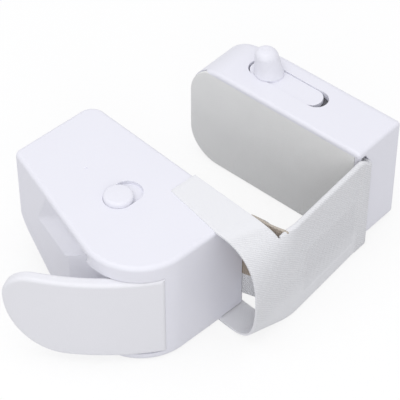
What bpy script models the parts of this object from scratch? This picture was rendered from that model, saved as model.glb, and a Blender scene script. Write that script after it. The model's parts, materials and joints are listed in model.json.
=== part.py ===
"""Child safety door lock: two blocks that straddle a door's free edge, joined by a woven strap.

The body (left block) has a lever whose cam pushes a padded plate at the door, and a button that locks the lever.
The jaw (right block) has a pad, and a slider that frees the strap's tail, which sets the gap between the blocks.
Metres, +Z up. The origin is on the lever's pin at the body's underside. +X points across the door's thickness to
the jaw, and +Y along the door's face, away from the door's edge.
"""

from math import acos, asin, atan2, cos, pi, radians, sin, sqrt, tan

import bmesh
import bpy
from mathutils import Vector

# Clearances
GAP = 0.0003
SLIDE_GAP = 0.0004
LEVER_GAP = 0.0005
OVERRUN = 0.0020

# Body casing
BODY_HEIGHT = 0.0400
BODY_LENGTH = 0.0686
CORNER_RADIUS = 0.0183
PIN_TO_INNER_FACE = 0.0265
FLARE = radians(14.3)
BODY_WALL = 0.0025
INNER_WALL = 0.0030
FLARE_WALL = 0.0070
TOP_WALL = 0.0024
EDGE_ROUND = 0.0013
MOUTH_ROUND = 0.0110
MOUTH_SLOPE = radians(25)
MOUTH_SLOPE_START = 0.0227
RIM_HEIGHT = 0.0057
BASE_THICKNESS = 0.0026
BASE_LIP = 0.0027
BASE_STOP_SHORT = 0.0015
BOSS_RADIUS = 0.0023

# Finger scoop in the flared wall
SCOOP_DEPTH = 0.0042
SCOOP_HEIGHT = 0.0113
SCOOP_START_TOP = -0.0013
SCOOP_START_LOW = 0.0147
SCOOP_END_TOP = 0.0270
SCOOP_END_LOW = 0.0334

# Lever and its pin
PIN_RADIUS = 0.0016
PIN_BOSS_RADIUS = 0.0032
PIN_BOSS_HEIGHT = 0.0018
PIN_SEAT = 0.0012
HUB_RADIUS = 0.0050
WASHER_THICKNESS = 0.0006
WASHER_RADIUS = 0.0042
LEVER_CLOSE = radians(46)
LEVER_ROOT_ANGLE = radians(250)
LEVER_PROUD = 0.0008
LEVER_THICKNESS = 0.0033
LEVER_CURVE_RADIUS = 0.0850
LEVER_REACH_X = 0.0393
LEVER_REACH_Y = 0.0182
LEVER_EDGE_ROUND = 0.0011
TIP_TOP_ROUND = 0.0085
TIP_LOW_ROUND_ALONG = 0.0155
TIP_LOW_ROUND_UP = 0.0210
LEVER_WEB = 0.0030
LEVER_WEB_ANGLE = radians(241)
LEVER_WEB_MARGIN = radians(5)
LEVER_PLATE = 0.0019
SKIRT_THICKNESS = 0.0012
SKIRT_SPAN = radians(42)
WINDOW_MARGIN = radians(1.1)
WINDOW_END_ANGLE = radians(186)
SCREEN_START_ANGLE = radians(120)
SCREEN_RADIUS = 0.0136
SCREEN_THICKNESS = 0.0030

# Cam that pushes the plate at the door
CAM_RADIUS = 0.0075
CAM_RISE_PER_RADIAN = 0.0040
CAM_HEIGHT = 0.0120
CAM_LEAD = radians(14)
CAM_RUN_OUT = radians(6)

# Pressure plate
PLATE_LOW_Y = -0.0026
PLATE_LENGTH = 0.0360
PLATE_HEIGHT = 0.0190
PLATE_RAISE = 0.0015
PLATE_FLANGE = 0.0020
PLATE_RIM = 0.0022
PLATE_BACK_SPACE = 0.0046
PAD_THICKNESS = 0.0012
NOSE_WIDTH = 0.0070
NOSE_TIP = 0.0006
CUP_WIDTH = 0.0056
CUP_DEPTH = 0.0056
CUP_BOTTOM = 0.0018
CUP_SPACING_LOW = 0.0032
CUP_SPACING_HIGH = 0.0028
SPRING_RADIUS = 0.0015
SPRING_WIRE = 0.0003
SPRING_TURNS = 5

# Lock button
BUTTON_X = 0.0033
BUTTON_Y = 0.0127
BUTTON_RADIUS = 0.00465
BUTTON_PROUD = 0.0020
BUTTON_TRAVEL = 0.0038
BUTTON_RECESS = 0.0012
STEM_RADIUS = 0.0022
LOCK_SLIDE_THICKNESS = 0.0018
LOCK_SLIDE_SIDE = 0.0042
LOCK_PIN_X = -0.0105
LOCK_PIN_Y = 0.0056
LOCK_PIN_RADIUS = 0.0012
LOCK_ARM_HALF = 0.0016
LOCK_DISC_RADIUS = 0.0100
LOCK_DISC_THICKNESS = 0.0018

# Screws
SCREW_RADIUS = 0.0012
SCREW_HEAD_RADIUS = 0.0019
SCREW_HEAD_HEIGHT = 0.0012
SCREW_LENGTH = 0.0090
BASE_SCREWS = [(-0.0032, 0.0184), (0.0139, 0.0140), (0.0098, -0.0132)]

# Strap: a woven cover over a liner
COVER_THICKNESS = 0.0007
LINER_THICKNESS = 0.0009
STRAP_LOW = 0.0005
STRAP_BELOW_TOP = 0.0015
LINER_LOW = 0.0055
LINER_BELOW_TOP = 0.0030
FLAP_LENGTH = 0.0220
FLAP_WIDTH = 0.0126
FLAP_TAPER = 0.0026
FLAP_RECESS = 0.0006
FLAP_RECESS_BELOW = 0.0014
LOOP_REACH = 0.0163
LOOP_FOLD_REACH = 0.0149
LOOP_ROUND = 0.80
LOOP_FOLD_SQUARE = 0.45
LOOP_FOLD_BULGE = 0.0018
LOOP_SLANT = 0.0028
FOLD_BEYOND_FACE = 0.0028
FOLD_BEYOND_END = 0.0133
HINGE_GAP = 0.00115
BRIDGE_LENGTH = 0.0400
BRIDGE_TURN = radians(8.05)
ROD_RADIUS = 0.0013
HEM_RADIUS = 0.0026
HEM_FROM_INNER_FACE = 0.0080
HEM_FROM_END = 0.0062
LINER_BEND = 0.0016

# Jaw casing, in the frame of the strap's hinge at the jaw
JAW_TURN_FROM_BRIDGE = radians(-3.55)
JAW_LENGTH = 0.0699
JAW_THICKNESS = 0.0215
JAW_FROM_HINGE = 0.00085
JAW_WALL = 0.0022
JAW_TOP_ROUND = 0.0100
JAW_LOW_ROUND = 0.0120
JAW_FRONT_ROUND = 0.0022
OPENING_START = 0.0013
OPENING_WIDTH = 0.0053
OPENING_BELOW_TOP = 0.0024
JAW_PAD_THICKNESS = 0.0012
JAW_RIM_TOP = 0.0017
JAW_RIM_FRONT = 0.0016
JAW_PLATE_THICKNESS = 0.0020
TURN_RADIUS = 0.0020
JAW_SCREW_FROM_BACK = 0.0130
JAW_SCREW_FROM_FLOOR = 0.0115
JAW_SCREW_FROM_TOP = 0.0110

# Strap lock in the jaw
SLOT_X = 0.0119
SLOT_FROM_FRONT = 0.0226
SLOT_LENGTH = 0.0311
SLOT_RADIUS = 0.0041
SLIDER_FRONT_SPACE = 0.0024
SLIDER_BACK_SPACE = 0.0008
SLIDER_PROUD = 0.0006
SLIDER_TRAVEL = 0.0021
KNOB_FROM_SLOT_END = 0.0076
KNOB_BASE_RADIUS = 0.0052
KNOB_TOP_RADIUS = 0.0036
KNOB_HEIGHT = 0.0080
KNOB_TOP_ROUND = 0.0014
SLIDE_PLATE_THICKNESS = 0.0026
SLIDE_PLATE_SIDE = 0.0005
SLIDE_PLATE_END = 0.0026
PAWL_RATIO = 0.5
PAWL_LENGTH = 0.0100
PAWL_FROM_SLOT_END = 0.0005
PAWL_HEIGHT = 0.0200
PAWL_DEPTH = 0.0056
PAWL_BELOW_TOP = 0.0100
PAWL_PIN_RADIUS = 0.0011
PAWL_PIN_DEPTH = 0.0040
PAWL_TEETH = 4
PAWL_TOOTH_DEPTH = 0.0008
GUIDE_RIB = 0.0016
TAIL_BELOW_TOP = 0.0068
TAIL_LENGTH = 0.0450
SLIDER_SPRING_LENGTH = 0.0072
SLIDER_SPRING_RADIUS = 0.0010
STOP_RIB = 0.0020
STOP_RIB_WIDTH = 0.0060

# Places that follow from the sizes above
END_Y = -CORNER_RADIUS
MOUTH_Y = END_Y + BODY_LENGTH
TOP_UNDERSIDE = BODY_HEIGHT - TOP_WALL
WINDOW_TOP = BODY_HEIGHT - RIM_HEIGHT
LEVER_LOW = BASE_LIP + LEVER_GAP
LEVER_TOP = WINDOW_TOP - LEVER_GAP
LOCK_SLIDE_TOP = TOP_UNDERSIDE - GAP
LOCK_SLIDE_LOW = LOCK_SLIDE_TOP - LOCK_SLIDE_THICKNESS
LOCK_DISC_TOP = LOCK_SLIDE_LOW - LEVER_GAP
LOCK_DISC_LOW = LOCK_DISC_TOP - LOCK_DISC_THICKNESS
PIN_BOSS_LOW = LOCK_DISC_TOP + GAP
LEVER_PLATE_TOP = LOCK_DISC_LOW - 2 * GAP
HUB_LOW = BASE_THICKNESS + PIN_BOSS_HEIGHT + WASHER_THICKNESS + 2 * GAP
HUB_ROOM = CORNER_RADIUS - BODY_WALL
SWEEP_RADIUS = HUB_ROOM - LEVER_GAP
CAM_LOW = BODY_HEIGHT / 2 - CAM_HEIGHT / 2
PLATE_Z = BODY_HEIGHT / 2 + PLATE_RAISE
INNER_SIDE = PIN_TO_INNER_FACE - INNER_WALL
PLATE_FACE = PIN_TO_INNER_FACE - PAD_THICKNESS - GAP
FLANGE_FRONT = INNER_SIDE - PLATE_BACK_SPACE
FLANGE_BACK = FLANGE_FRONT - PLATE_FLANGE
STRAP_HIGH = BODY_HEIGHT - STRAP_BELOW_TOP
LINER_HIGH = BODY_HEIGHT - LINER_BELOW_TOP
COVER_OFFSET = (LINER_THICKNESS + COVER_THICKNESS) / 2 + GAP
FOLD_X = PIN_TO_INNER_FACE + FOLD_BEYOND_FACE
FOLD_Y = END_Y - FOLD_BEYOND_END
JAW_FRONT = JAW_FROM_HINGE
JAW_BACK = JAW_FRONT + JAW_LENGTH
JAW_HEIGHT = BODY_HEIGHT
JAW_TOP_UNDERSIDE = JAW_HEIGHT - JAW_WALL
JAW_SCREW_HEIGHTS = (JAW_SCREW_FROM_FLOOR, JAW_HEIGHT - JAW_SCREW_FROM_TOP)
OPENING_TOP = JAW_HEIGHT - OPENING_BELOW_TOP
TAIL_HIGH = JAW_HEIGHT - TAIL_BELOW_TOP
PAWL_TOP = JAW_HEIGHT - PAWL_BELOW_TOP
SLOT_LOW_Y = JAW_FRONT + SLOT_FROM_FRONT + SLOT_RADIUS
SLOT_HIGH_Y = SLOT_LOW_Y + SLOT_LENGTH - 2 * SLOT_RADIUS
SLIDER_HALF = SLOT_RADIUS - GAP
SLIDER_LOW_Y = SLOT_LOW_Y - SLOT_RADIUS + SLIDER_FRONT_SPACE + SLIDER_HALF
SLIDER_HIGH_Y = SLOT_HIGH_Y + SLOT_RADIUS - SLIDER_BACK_SPACE - SLIDER_HALF
KNOB_Y = SLOT_HIGH_Y + SLOT_RADIUS - KNOB_FROM_SLOT_END
SLIDE_PLATE_TOP = JAW_TOP_UNDERSIDE - GAP
SLIDE_PLATE_LOW = SLIDE_PLATE_TOP - SLIDE_PLATE_THICKNESS
SLIDE_PLATE_FRONT = SLIDER_LOW_Y - SLIDER_HALF - SLIDE_PLATE_END
SLIDE_PLATE_BACK = SLIDER_HIGH_Y + SLIDER_HALF + SLIDE_PLATE_END
SLIDE_PLATE_HALF = SLOT_RADIUS + SLIDE_PLATE_SIDE
COVER_END_X = OPENING_START + OPENING_WIDTH - GAP - COVER_THICKNESS / 2
TAIL_X = COVER_END_X - COVER_OFFSET
PAWL_Y = SLOT_LOW_Y + PAWL_FROM_SLOT_END
PAWL_FACE = TAIL_X + LINER_THICKNESS / 2 + GAP


def clear_scene():
    for obj in list(bpy.data.objects):
        bpy.data.objects.remove(obj, do_unlink=True)


def material(name, colour, roughness, metallic=0.0):
    made = bpy.data.materials.new(name)
    made.use_nodes = True
    shader = made.node_tree.nodes["Principled BSDF"]
    shader.inputs["Base Color"].default_value = (*colour, 1.0)
    shader.inputs["Roughness"].default_value = roughness
    shader.inputs["Metallic"].default_value = metallic
    return made


def place(name, bm, parent, finish=None):
    """Turns a bmesh into an object under parent; with no finish it is a hidden tool."""
    bmesh.ops.recalc_face_normals(bm, faces=bm.faces)
    mesh = bpy.data.meshes.new(name)
    bm.to_mesh(mesh)
    bm.free()
    obj = bpy.data.objects.new(name, mesh)
    bpy.context.scene.collection.objects.link(obj)
    obj.parent = parent
    if finish is None:
        obj.hide_render = True
        obj.display_type = "WIRE"
    else:
        mesh.materials.append(finish)
        mesh.shade_smooth()
        mesh.set_sharp_from_angle(angle=radians(35))
    return obj


def boolean(obj, bm, operation):
    tool = place(obj.name + "_tool", bm, obj.parent)
    change = obj.modifiers.new(operation.lower(), "BOOLEAN")
    change.operation = operation
    change.solver = "EXACT"
    change.object = tool
    return tool


def cut(obj, bm):
    return boolean(obj, bm, "DIFFERENCE")


def join(obj, bm):
    return boolean(obj, bm, "UNION")


def round_edges(obj, width, segments=2):
    bevel = obj.modifiers.new("edges", "BEVEL")
    bevel.width = width
    bevel.segments = segments
    bevel.limit_method = "ANGLE"
    bevel.angle_limit = radians(50)


def empty(name, location, turn, parent=None):
    obj = bpy.data.objects.new(name, None)
    bpy.context.scene.collection.objects.link(obj)
    obj.location = location
    obj.rotation_euler = (0, 0, turn)
    obj.parent = parent
    return obj


def arc(centre, radius, start, end, steps):
    """Points on an arc, both ends included."""
    angles = [start + (end - start) * i / steps for i in range(steps + 1)]
    return [(centre[0] + radius * cos(a), centre[1] + radius * sin(a)) for a in angles]


def turned(outline, angle):
    """An outline turned about the origin."""
    return [(x * cos(angle) - y * sin(angle), x * sin(angle) + y * cos(angle)) for x, y in outline]


def stadium(start, end, radius, steps=10):
    """Outline of a slot from one end centre to the other."""
    along = atan2(end[1] - start[1], end[0] - start[0])
    far = arc(end, radius, along - pi / 2, along + pi / 2, steps)
    near = arc(start, radius, along + pi / 2, along + 3 * pi / 2, steps)
    return far + near


def rectangle(low, high):
    return [(low[0], low[1]), (high[0], low[1]), (high[0], high[1]), (low[0], high[1])]


def prism(outline, low, high, axis="Z"):
    """An outline pushed along an axis: (x, y) along Z, (y, z) along X, (x, z) along Y."""
    order = {"Z": (0, 1, 2), "X": (2, 0, 1), "Y": (0, 2, 1)}[axis]
    bm = bmesh.new()
    rings = []
    for level in (low, high):
        points = [(*point, level) for point in outline]
        rings.append([bm.verts.new([p[k] for k in order]) for p in points])
    bm.faces.new(rings[0])
    bm.faces.new(rings[1])
    for i in range(len(outline)):
        j = (i + 1) % len(outline)
        bm.faces.new((rings[0][i], rings[0][j], rings[1][j], rings[1][i]))
    return bm


def box(low, high):
    return prism(rectangle(low, high), low[2], high[2])


def cylinder(centre, radius, low, high, axis="Z", steps=24):
    return prism(arc(centre, radius, 0, 2 * pi, steps)[:-1], low, high, axis)


def lathe(profile, centre, steps=28):
    """Turns (radius, height) points, from the axis below to the axis above, about an upright axis."""
    bm = bmesh.new()
    rings = []
    for radius, height in profile:
        count = steps if radius > 0 else 1
        ring = arc(centre, radius, 0, 2 * pi, count)[:-1]
        rings.append([bm.verts.new((x, y, height)) for x, y in ring])
    for lower, upper in zip(rings, rings[1:]):
        for i in range(steps):
            j = (i + 1) % steps
            corners = [lower[i % len(lower)], lower[j % len(lower)], upper[j % len(upper)], upper[i % len(upper)]]
            bm.faces.new(list(dict.fromkeys(corners)))
    return bm


def ribbon(path, thickness):
    """Outline of a band of this thickness along a path."""
    sides = ([], [])
    for i, point in enumerate(path):
        before = Vector(path[max(i - 1, 0)])
        after = Vector(path[min(i + 1, len(path) - 1)])
        along = (after - before).normalized()
        across = Vector((-along.y, along.x)) * thickness / 2
        sides[0].append(tuple(Vector(point) + across))
        sides[1].append(tuple(Vector(point) - across))
    return sides[0] + sides[1][::-1]


def sheet(grid, thickness):
    """A closed solid of this thickness about a grid of points, by rows."""
    rows, columns = len(grid), len(grid[0])
    bm = bmesh.new()
    layers = ([], [])
    for r in range(rows):
        for c in range(columns):
            along = grid[min(r + 1, rows - 1)][c] - grid[max(r - 1, 0)][c]
            across = grid[r][min(c + 1, columns - 1)] - grid[r][max(c - 1, 0)]
            normal = along.cross(across).normalized() * thickness / 2
            layers[0].append(bm.verts.new(grid[r][c] + normal))
            layers[1].append(bm.verts.new(grid[r][c] - normal))
    for layer in layers:
        for r in range(rows - 1):
            for c in range(columns - 1):
                k = r * columns + c
                bm.faces.new((layer[k], layer[k + 1], layer[k + columns + 1], layer[k + columns]))
    rim = [c for c in range(columns)]
    rim += [r * columns + columns - 1 for r in range(1, rows)]
    rim += [(rows - 1) * columns + c for c in range(columns - 2, -1, -1)]
    rim += [r * columns for r in range(rows - 2, 0, -1)]
    for k, n in zip(rim, rim[1:] + rim[:1]):
        bm.faces.new((layers[0][k], layers[0][n], layers[1][n], layers[1][k]))
    return bm


def screw(centre, head_low, length, axis="Z", sign=1):
    """Flat-headed screw whose head starts at head_low; sign gives the way that it points."""
    levels = [head_low, head_low + sign * SCREW_HEAD_HEIGHT, head_low + sign * (SCREW_HEAD_HEIGHT + length)]
    shape = lathe([(0, levels[0]), (SCREW_HEAD_RADIUS, levels[0]), (SCREW_HEAD_RADIUS, levels[1]),
                   (SCREW_RADIUS, levels[1]), (SCREW_RADIUS, levels[2]), (0, levels[2])], (0, 0), 16)
    turn = {"Z": (0, 1, 2), "X": (2, 0, 1)}[axis]
    for vert in shape.verts:
        point = (vert.co.x + centre[0], vert.co.y + centre[1], vert.co.z)
        vert.co = [point[k] for k in turn]
    return shape


def spring(name, start, end, radius, finish, parent):
    """Coil spring from one point to another, as a curve with a round section."""
    curve = bpy.data.curves.new(name, "CURVE")
    curve.dimensions = "3D"
    curve.bevel_depth = SPRING_WIRE
    curve.bevel_resolution = 1
    curve.use_fill_caps = True
    per_turn = 9
    start, end = Vector(start), Vector(end)
    side = Vector((0, 0, 1))
    other = (end - start).normalized().cross(side)
    count = SPRING_TURNS * per_turn + 1
    line = curve.splines.new("POLY")
    line.points.add(count - 1)
    for i in range(count):
        angle = 2 * pi * i / per_turn
        point = start + (end - start) * i / (count - 1)
        point += (side * cos(angle) + other * sin(angle)) * radius
        line.points[i].co = (*point, 1)
    curve.materials.append(finish)
    obj = bpy.data.objects.new(name, curve)
    bpy.context.scene.collection.objects.link(obj)
    obj.parent = parent
    return obj


def flare_x(y, inset=0.0):
    """Where the flared wall, moved in by inset, stands at y."""
    return (y * sin(FLARE) - CORNER_RADIUS + inset) / cos(FLARE)


def body_outline():
    corner = arc((0, 0), CORNER_RADIUS, pi - FLARE, 3 * pi / 2, 14)
    face = [(PIN_TO_INNER_FACE, END_Y), (PIN_TO_INNER_FACE, MOUTH_Y), (flare_x(MOUTH_Y), MOUTH_Y)]
    return face + corner


def room_outline(inset, far_y):
    """Inside of the body's walls up to far_y; the flared wall is thick, for the scoop."""
    radius = HUB_ROOM - inset
    flare_line = CORNER_RADIUS - FLARE_WALL - inset
    meets = pi - FLARE - acos(flare_line / radius)
    corner = arc((0, 0), radius, meets, 3 * pi / 2, 16)
    side = INNER_SIDE - inset
    face = [(side, END_Y + BODY_WALL + inset), (side, far_y), (flare_x(far_y, FLARE_WALL + inset), far_y)]
    return face + corner


def mouth_corner(inset):
    """What the underside's slope and its rounded end at the mouth take away, moved in by inset, as (y, z) points."""
    centre_y = MOUTH_Y - MOUTH_ROUND
    centre_z = (centre_y - MOUTH_SLOPE_START) * tan(MOUTH_SLOPE) + MOUTH_ROUND / cos(MOUTH_SLOPE)
    curve = arc((centre_y, centre_z), MOUTH_ROUND - inset, MOUTH_SLOPE - pi / 2, 0, 8)
    below = inset - OVERRUN
    foot = MOUTH_SLOPE_START + (below - inset / cos(MOUTH_SLOPE)) / tan(MOUTH_SLOPE)
    outside = MOUTH_Y + OVERRUN
    return [(foot, below)] + curve + [(outside, centre_z), (outside, below)]


def build_body(white, steel):
    shell = place("body_shell", prism(body_outline(), 0, BODY_HEIGHT), None, white)
    round_edges(shell, EDGE_ROUND)
    wide = PIN_TO_INNER_FACE + CORNER_RADIUS
    cut(shell, prism(mouth_corner(0), -wide, wide, "X"))
    room = cut(shell, prism(room_outline(0, MOUTH_Y - BODY_WALL), BODY_WALL, TOP_UNDERSIDE))
    cut(room, prism(mouth_corner(BODY_WALL), -wide, wide, "X"))
    base_end = MOUTH_SLOPE_START - BASE_STOP_SHORT
    cut(shell, prism(room_outline(0, base_end), -OVERRUN, BODY_WALL + OVERRUN))
    cut_lever_window(shell)
    cut_scoop(shell)
    plate_low, plate_high = plate_window(SLIDE_GAP)
    cut(shell, box((INNER_SIDE - OVERRUN, *plate_low), (PIN_TO_INNER_FACE + OVERRUN, *plate_high)))
    cut_strap_seat(shell)
    cut_button_slot(shell)
    for centre in BASE_SCREWS:
        join(shell, cylinder(centre, BOSS_RADIUS, BASE_THICKNESS + GAP, TOP_UNDERSIDE + TOP_WALL / 3, steps=16))
        cut(shell, cylinder(centre, SCREW_RADIUS + GAP, 0, SCREW_LENGTH + OVERRUN, steps=12))
    join(shell, cylinder((0, 0), PIN_BOSS_RADIUS, PIN_BOSS_LOW, TOP_UNDERSIDE + TOP_WALL / 2))
    cut(shell, cylinder((0, 0), PIN_RADIUS + GAP, PIN_BOSS_LOW - OVERRUN, TOP_UNDERSIDE + GAP))

    base = place("body_base", prism(room_outline(GAP, base_end - GAP), 0, BASE_THICKNESS), None, white)
    join(base, cylinder((0, 0), PIN_BOSS_RADIUS, BASE_THICKNESS / 2, BASE_THICKNESS + PIN_BOSS_HEIGHT))
    cut(base, cylinder((0, 0), PIN_RADIUS + GAP, PIN_SEAT, BASE_THICKNESS + PIN_BOSS_HEIGHT + OVERRUN))
    cut(base, lower_flap_seat())
    head_room = SCREW_HEAD_HEIGHT + 2 * GAP
    for centre in BASE_SCREWS:
        cut(base, cylinder(centre, SCREW_HEAD_RADIUS + GAP, -OVERRUN, head_room, steps=16))
        cut(base, cylinder(centre, SCREW_RADIUS + GAP, -OVERRUN, BASE_THICKNESS + OVERRUN, steps=12))
    for number, centre in enumerate(BASE_SCREWS, 1):
        place(f"base_screw_{number}", screw(centre, GAP, SCREW_LENGTH - SCREW_HEAD_HEIGHT), None, steel)


def cut_lever_window(shell):
    """Opening in the rounded corner for the lever, with a screen beside it that clears the closed lever."""
    screen_end = WINDOW_END_ANGLE + WINDOW_MARGIN
    screen = arc((0, 0), SCREEN_RADIUS + SCREEN_THICKNESS, SCREEN_START_ANGLE, screen_end, 10)
    screen += arc((0, 0), SCREEN_RADIUS, screen_end, SCREEN_START_ANGLE, 10)
    join(shell, prism(screen, BASE_THICKNESS + GAP, WINDOW_TOP + GAP))
    reach = 3 * CORNER_RADIUS
    start = LEVER_ROOT_ANGLE + WINDOW_MARGIN
    outline = [(0, 0), (reach * cos(WINDOW_END_ANGLE), reach * sin(WINDOW_END_ANGLE))]
    outline += [(-reach, -reach), (reach * cos(start), reach * sin(start))]
    cut(shell, prism(outline, BASE_LIP, WINDOW_TOP))
    room = lever_curve(LEVER_THICKNESS + LEVER_GAP, 12) + lever_curve(-CORNER_RADIUS, 12)[::-1]
    cut(shell, prism(turned(room, -LEVER_CLOSE), BASE_LIP, WINDOW_TOP))


def cut_scoop(shell):
    """Sloping pocket under the rim of the flared wall, deepest at its top."""
    slope = SCOOP_HEIGHT / SCOOP_DEPTH
    section = [(SCOOP_DEPTH, WINDOW_TOP), (-OVERRUN, WINDOW_TOP)]
    section += [(-OVERRUN, WINDOW_TOP - SCOOP_HEIGHT - OVERRUN * slope)]
    ends = ((SCOOP_START_TOP, SCOOP_START_LOW), (SCOOP_END_TOP, SCOOP_END_LOW))
    along = Vector((sin(FLARE), cos(FLARE), 0))
    inward = Vector((cos(FLARE), -sin(FLARE), 0))
    bm = bmesh.new()
    rings = []
    for run_top, run_low in ends:
        ring = []
        for depth, height in section:
            run = run_top + (run_low - run_top) * (WINDOW_TOP - height) / SCOOP_HEIGHT
            point = -inward * CORNER_RADIUS + along * run + inward * depth
            ring.append(bm.verts.new((point.x, point.y, height)))
        rings.append(ring)
        bm.faces.new(ring)
    for i in range(3):
        j = (i + 1) % 3
        bm.faces.new((rings[0][i], rings[0][j], rings[1][j], rings[1][i]))
    cut(shell, bm)


def plate_window(margin):
    """Low and high (y, z) corners of the pressure plate, grown by margin."""
    low = (PLATE_LOW_Y - margin, PLATE_Z - PLATE_HEIGHT / 2 - margin)
    high = (PLATE_LOW_Y + PLATE_LENGTH + margin, PLATE_Z + PLATE_HEIGHT / 2 + margin)
    return low, high


def lower_flap_seat():
    low = (PIN_TO_INNER_FACE - FLAP_WIDTH - GAP - LOOP_SLANT / 4, END_Y - OVERRUN, -OVERRUN)
    return box(low, (PIN_TO_INNER_FACE + OVERRUN, END_Y + FLAP_LENGTH + GAP, FLAP_RECESS_BELOW))


def cut_strap_seat(shell):
    """Seats for the strap's flaps, and the slot that the liner goes in by."""
    side = PIN_TO_INNER_FACE - FLAP_WIDTH - GAP - LOOP_SLANT / 4
    top = BODY_HEIGHT - FLAP_RECESS
    cut(shell, box((side, END_Y - OVERRUN, top),
                   (PIN_TO_INNER_FACE + OVERRUN, END_Y + FLAP_LENGTH + GAP, BODY_HEIGHT + OVERRUN)))
    cut(shell, lower_flap_seat())
    slot_y = END_Y + HEM_FROM_END
    half = LINER_THICKNESS / 2 + GAP
    low, high = LINER_LOW - GAP, LINER_HIGH + GAP
    seat = PIN_TO_INNER_FACE - LINER_THICKNESS - GAP
    cut(shell, box((seat, END_Y - OVERRUN, low), (PIN_TO_INNER_FACE + OVERRUN, slot_y + half, high)))
    cut(shell, box((INNER_SIDE - OVERRUN, slot_y - half, low), (PIN_TO_INNER_FACE, slot_y + half, high)))
    bend = LINER_BEND + LINER_THICKNESS / 2
    corner = [(seat, slot_y - half - bend), (seat + GAP, slot_y), (seat - bend, slot_y - half)]
    cut(shell, prism(corner, low, high))


def cut_button_slot(shell):
    start = (BUTTON_X, BUTTON_Y)
    end = (BUTTON_X + BUTTON_TRAVEL, BUTTON_Y)
    floor = BODY_HEIGHT - BUTTON_RECESS
    cut(shell, prism(stadium(start, end, BUTTON_RADIUS + SLIDE_GAP), floor, BODY_HEIGHT + OVERRUN))
    cut(shell, prism(stadium(start, end, STEM_RADIUS + SLIDE_GAP), TOP_UNDERSIDE - OVERRUN, BODY_HEIGHT))


def lever_curve(inset, steps):
    """The paddle's outer curve from its root to its tip, moved in by inset."""
    root_radius = CORNER_RADIUS + LEVER_PROUD
    root = Vector((root_radius * cos(LEVER_ROOT_ANGLE), root_radius * sin(LEVER_ROOT_ANGLE)))
    tip = Vector((-LEVER_REACH_X, LEVER_REACH_Y))
    chord = tip - root
    inward = Vector((chord.y, -chord.x)).normalized()
    depth = sqrt(LEVER_CURVE_RADIUS ** 2 - (chord.length / 2) ** 2)
    centre = (root + tip) / 2 + inward * depth
    start = atan2(root.y - centre.y, root.x - centre.x)
    end = atan2(tip.y - centre.y, tip.x - centre.x)
    if start < end:
        start += 2 * pi
    return arc(centre, LEVER_CURVE_RADIUS - inset, start, end, steps)


def build_lever(white, steel):
    outline = lever_curve(0, 12) + lever_curve(LEVER_THICKNESS, 12)[::-1]
    lever = place("lever", prism(outline, LEVER_LOW, LEVER_TOP), None, white)
    round_edges(lever, LEVER_EDGE_ROUND)
    cut_lever_tip(lever)
    reach = 2 * CORNER_RADIUS
    beyond = LEVER_ROOT_ANGLE + SKIRT_SPAN
    root = [(0, 0), (reach * cos(LEVER_ROOT_ANGLE), reach * sin(LEVER_ROOT_ANGLE))]
    cut(lever, prism(root + [(reach * cos(beyond), reach * sin(beyond))], 0, BODY_HEIGHT))
    sector_start = LEVER_WEB_ANGLE - LEVER_WEB_MARGIN
    sector_end = LEVER_ROOT_ANGLE + SKIRT_SPAN
    sector = [(0, 0)] + arc((0, 0), SWEEP_RADIUS, sector_start, sector_end, 12)
    skirt_end = sector_end - WINDOW_MARGIN
    skirt = arc((0, 0), SWEEP_RADIUS - GAP, LEVER_ROOT_ANGLE - 2 * WINDOW_MARGIN, skirt_end, 7)
    skirt += arc((0, 0), SWEEP_RADIUS - SKIRT_THICKNESS, skirt_end, LEVER_ROOT_ANGLE - 2 * WINDOW_MARGIN, 7)
    join(lever, prism(sector, HUB_LOW, HUB_LOW + LEVER_PLATE))
    join(lever, prism(sector, LEVER_PLATE_TOP - LEVER_PLATE, LEVER_PLATE_TOP))
    join(lever, prism(skirt, HUB_LOW + LEVER_PLATE / 2, LEVER_PLATE_TOP - LEVER_PLATE / 2))
    web_end = Vector((cos(LEVER_WEB_ANGLE), sin(LEVER_WEB_ANGLE))) * CORNER_RADIUS
    web = ribbon([(0, 0), tuple(web_end)], LEVER_WEB)
    join(lever, prism(web, HUB_LOW + LEVER_PLATE / 2, LEVER_PLATE_TOP - LEVER_PLATE / 2))
    join(lever, cylinder((0, 0), HUB_RADIUS, HUB_LOW - GAP, LOCK_DISC_LOW + LOCK_DISC_THICKNESS / 2))
    join(lever, cylinder((0, 0), LOCK_DISC_RADIUS, LOCK_DISC_LOW, LOCK_DISC_TOP, steps=32))
    join(lever, prism(cam_outline(), CAM_LOW, CAM_LOW + CAM_HEIGHT))
    cut(lever, cylinder((0, 0), PIN_RADIUS + GAP, HUB_LOW - OVERRUN, LOCK_DISC_TOP + OVERRUN))
    for turn in (0, LEVER_CLOSE):
        cut(lever, prism(lock_notch(turn), LOCK_DISC_LOW - GAP, LOCK_DISC_TOP + GAP))
    pin_top = TOP_UNDERSIDE
    place("lever_pin", cylinder((0, 0), PIN_RADIUS, PIN_SEAT + GAP, pin_top), None, steel)
    washer = place("lever_washer", cylinder((0, 0), WASHER_RADIUS, HUB_LOW - 2 * GAP - WASHER_THICKNESS,
                                            HUB_LOW - 2 * GAP), None, steel)
    cut(washer, cylinder((0, 0), PIN_RADIUS + GAP, 0, HUB_LOW))


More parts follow.
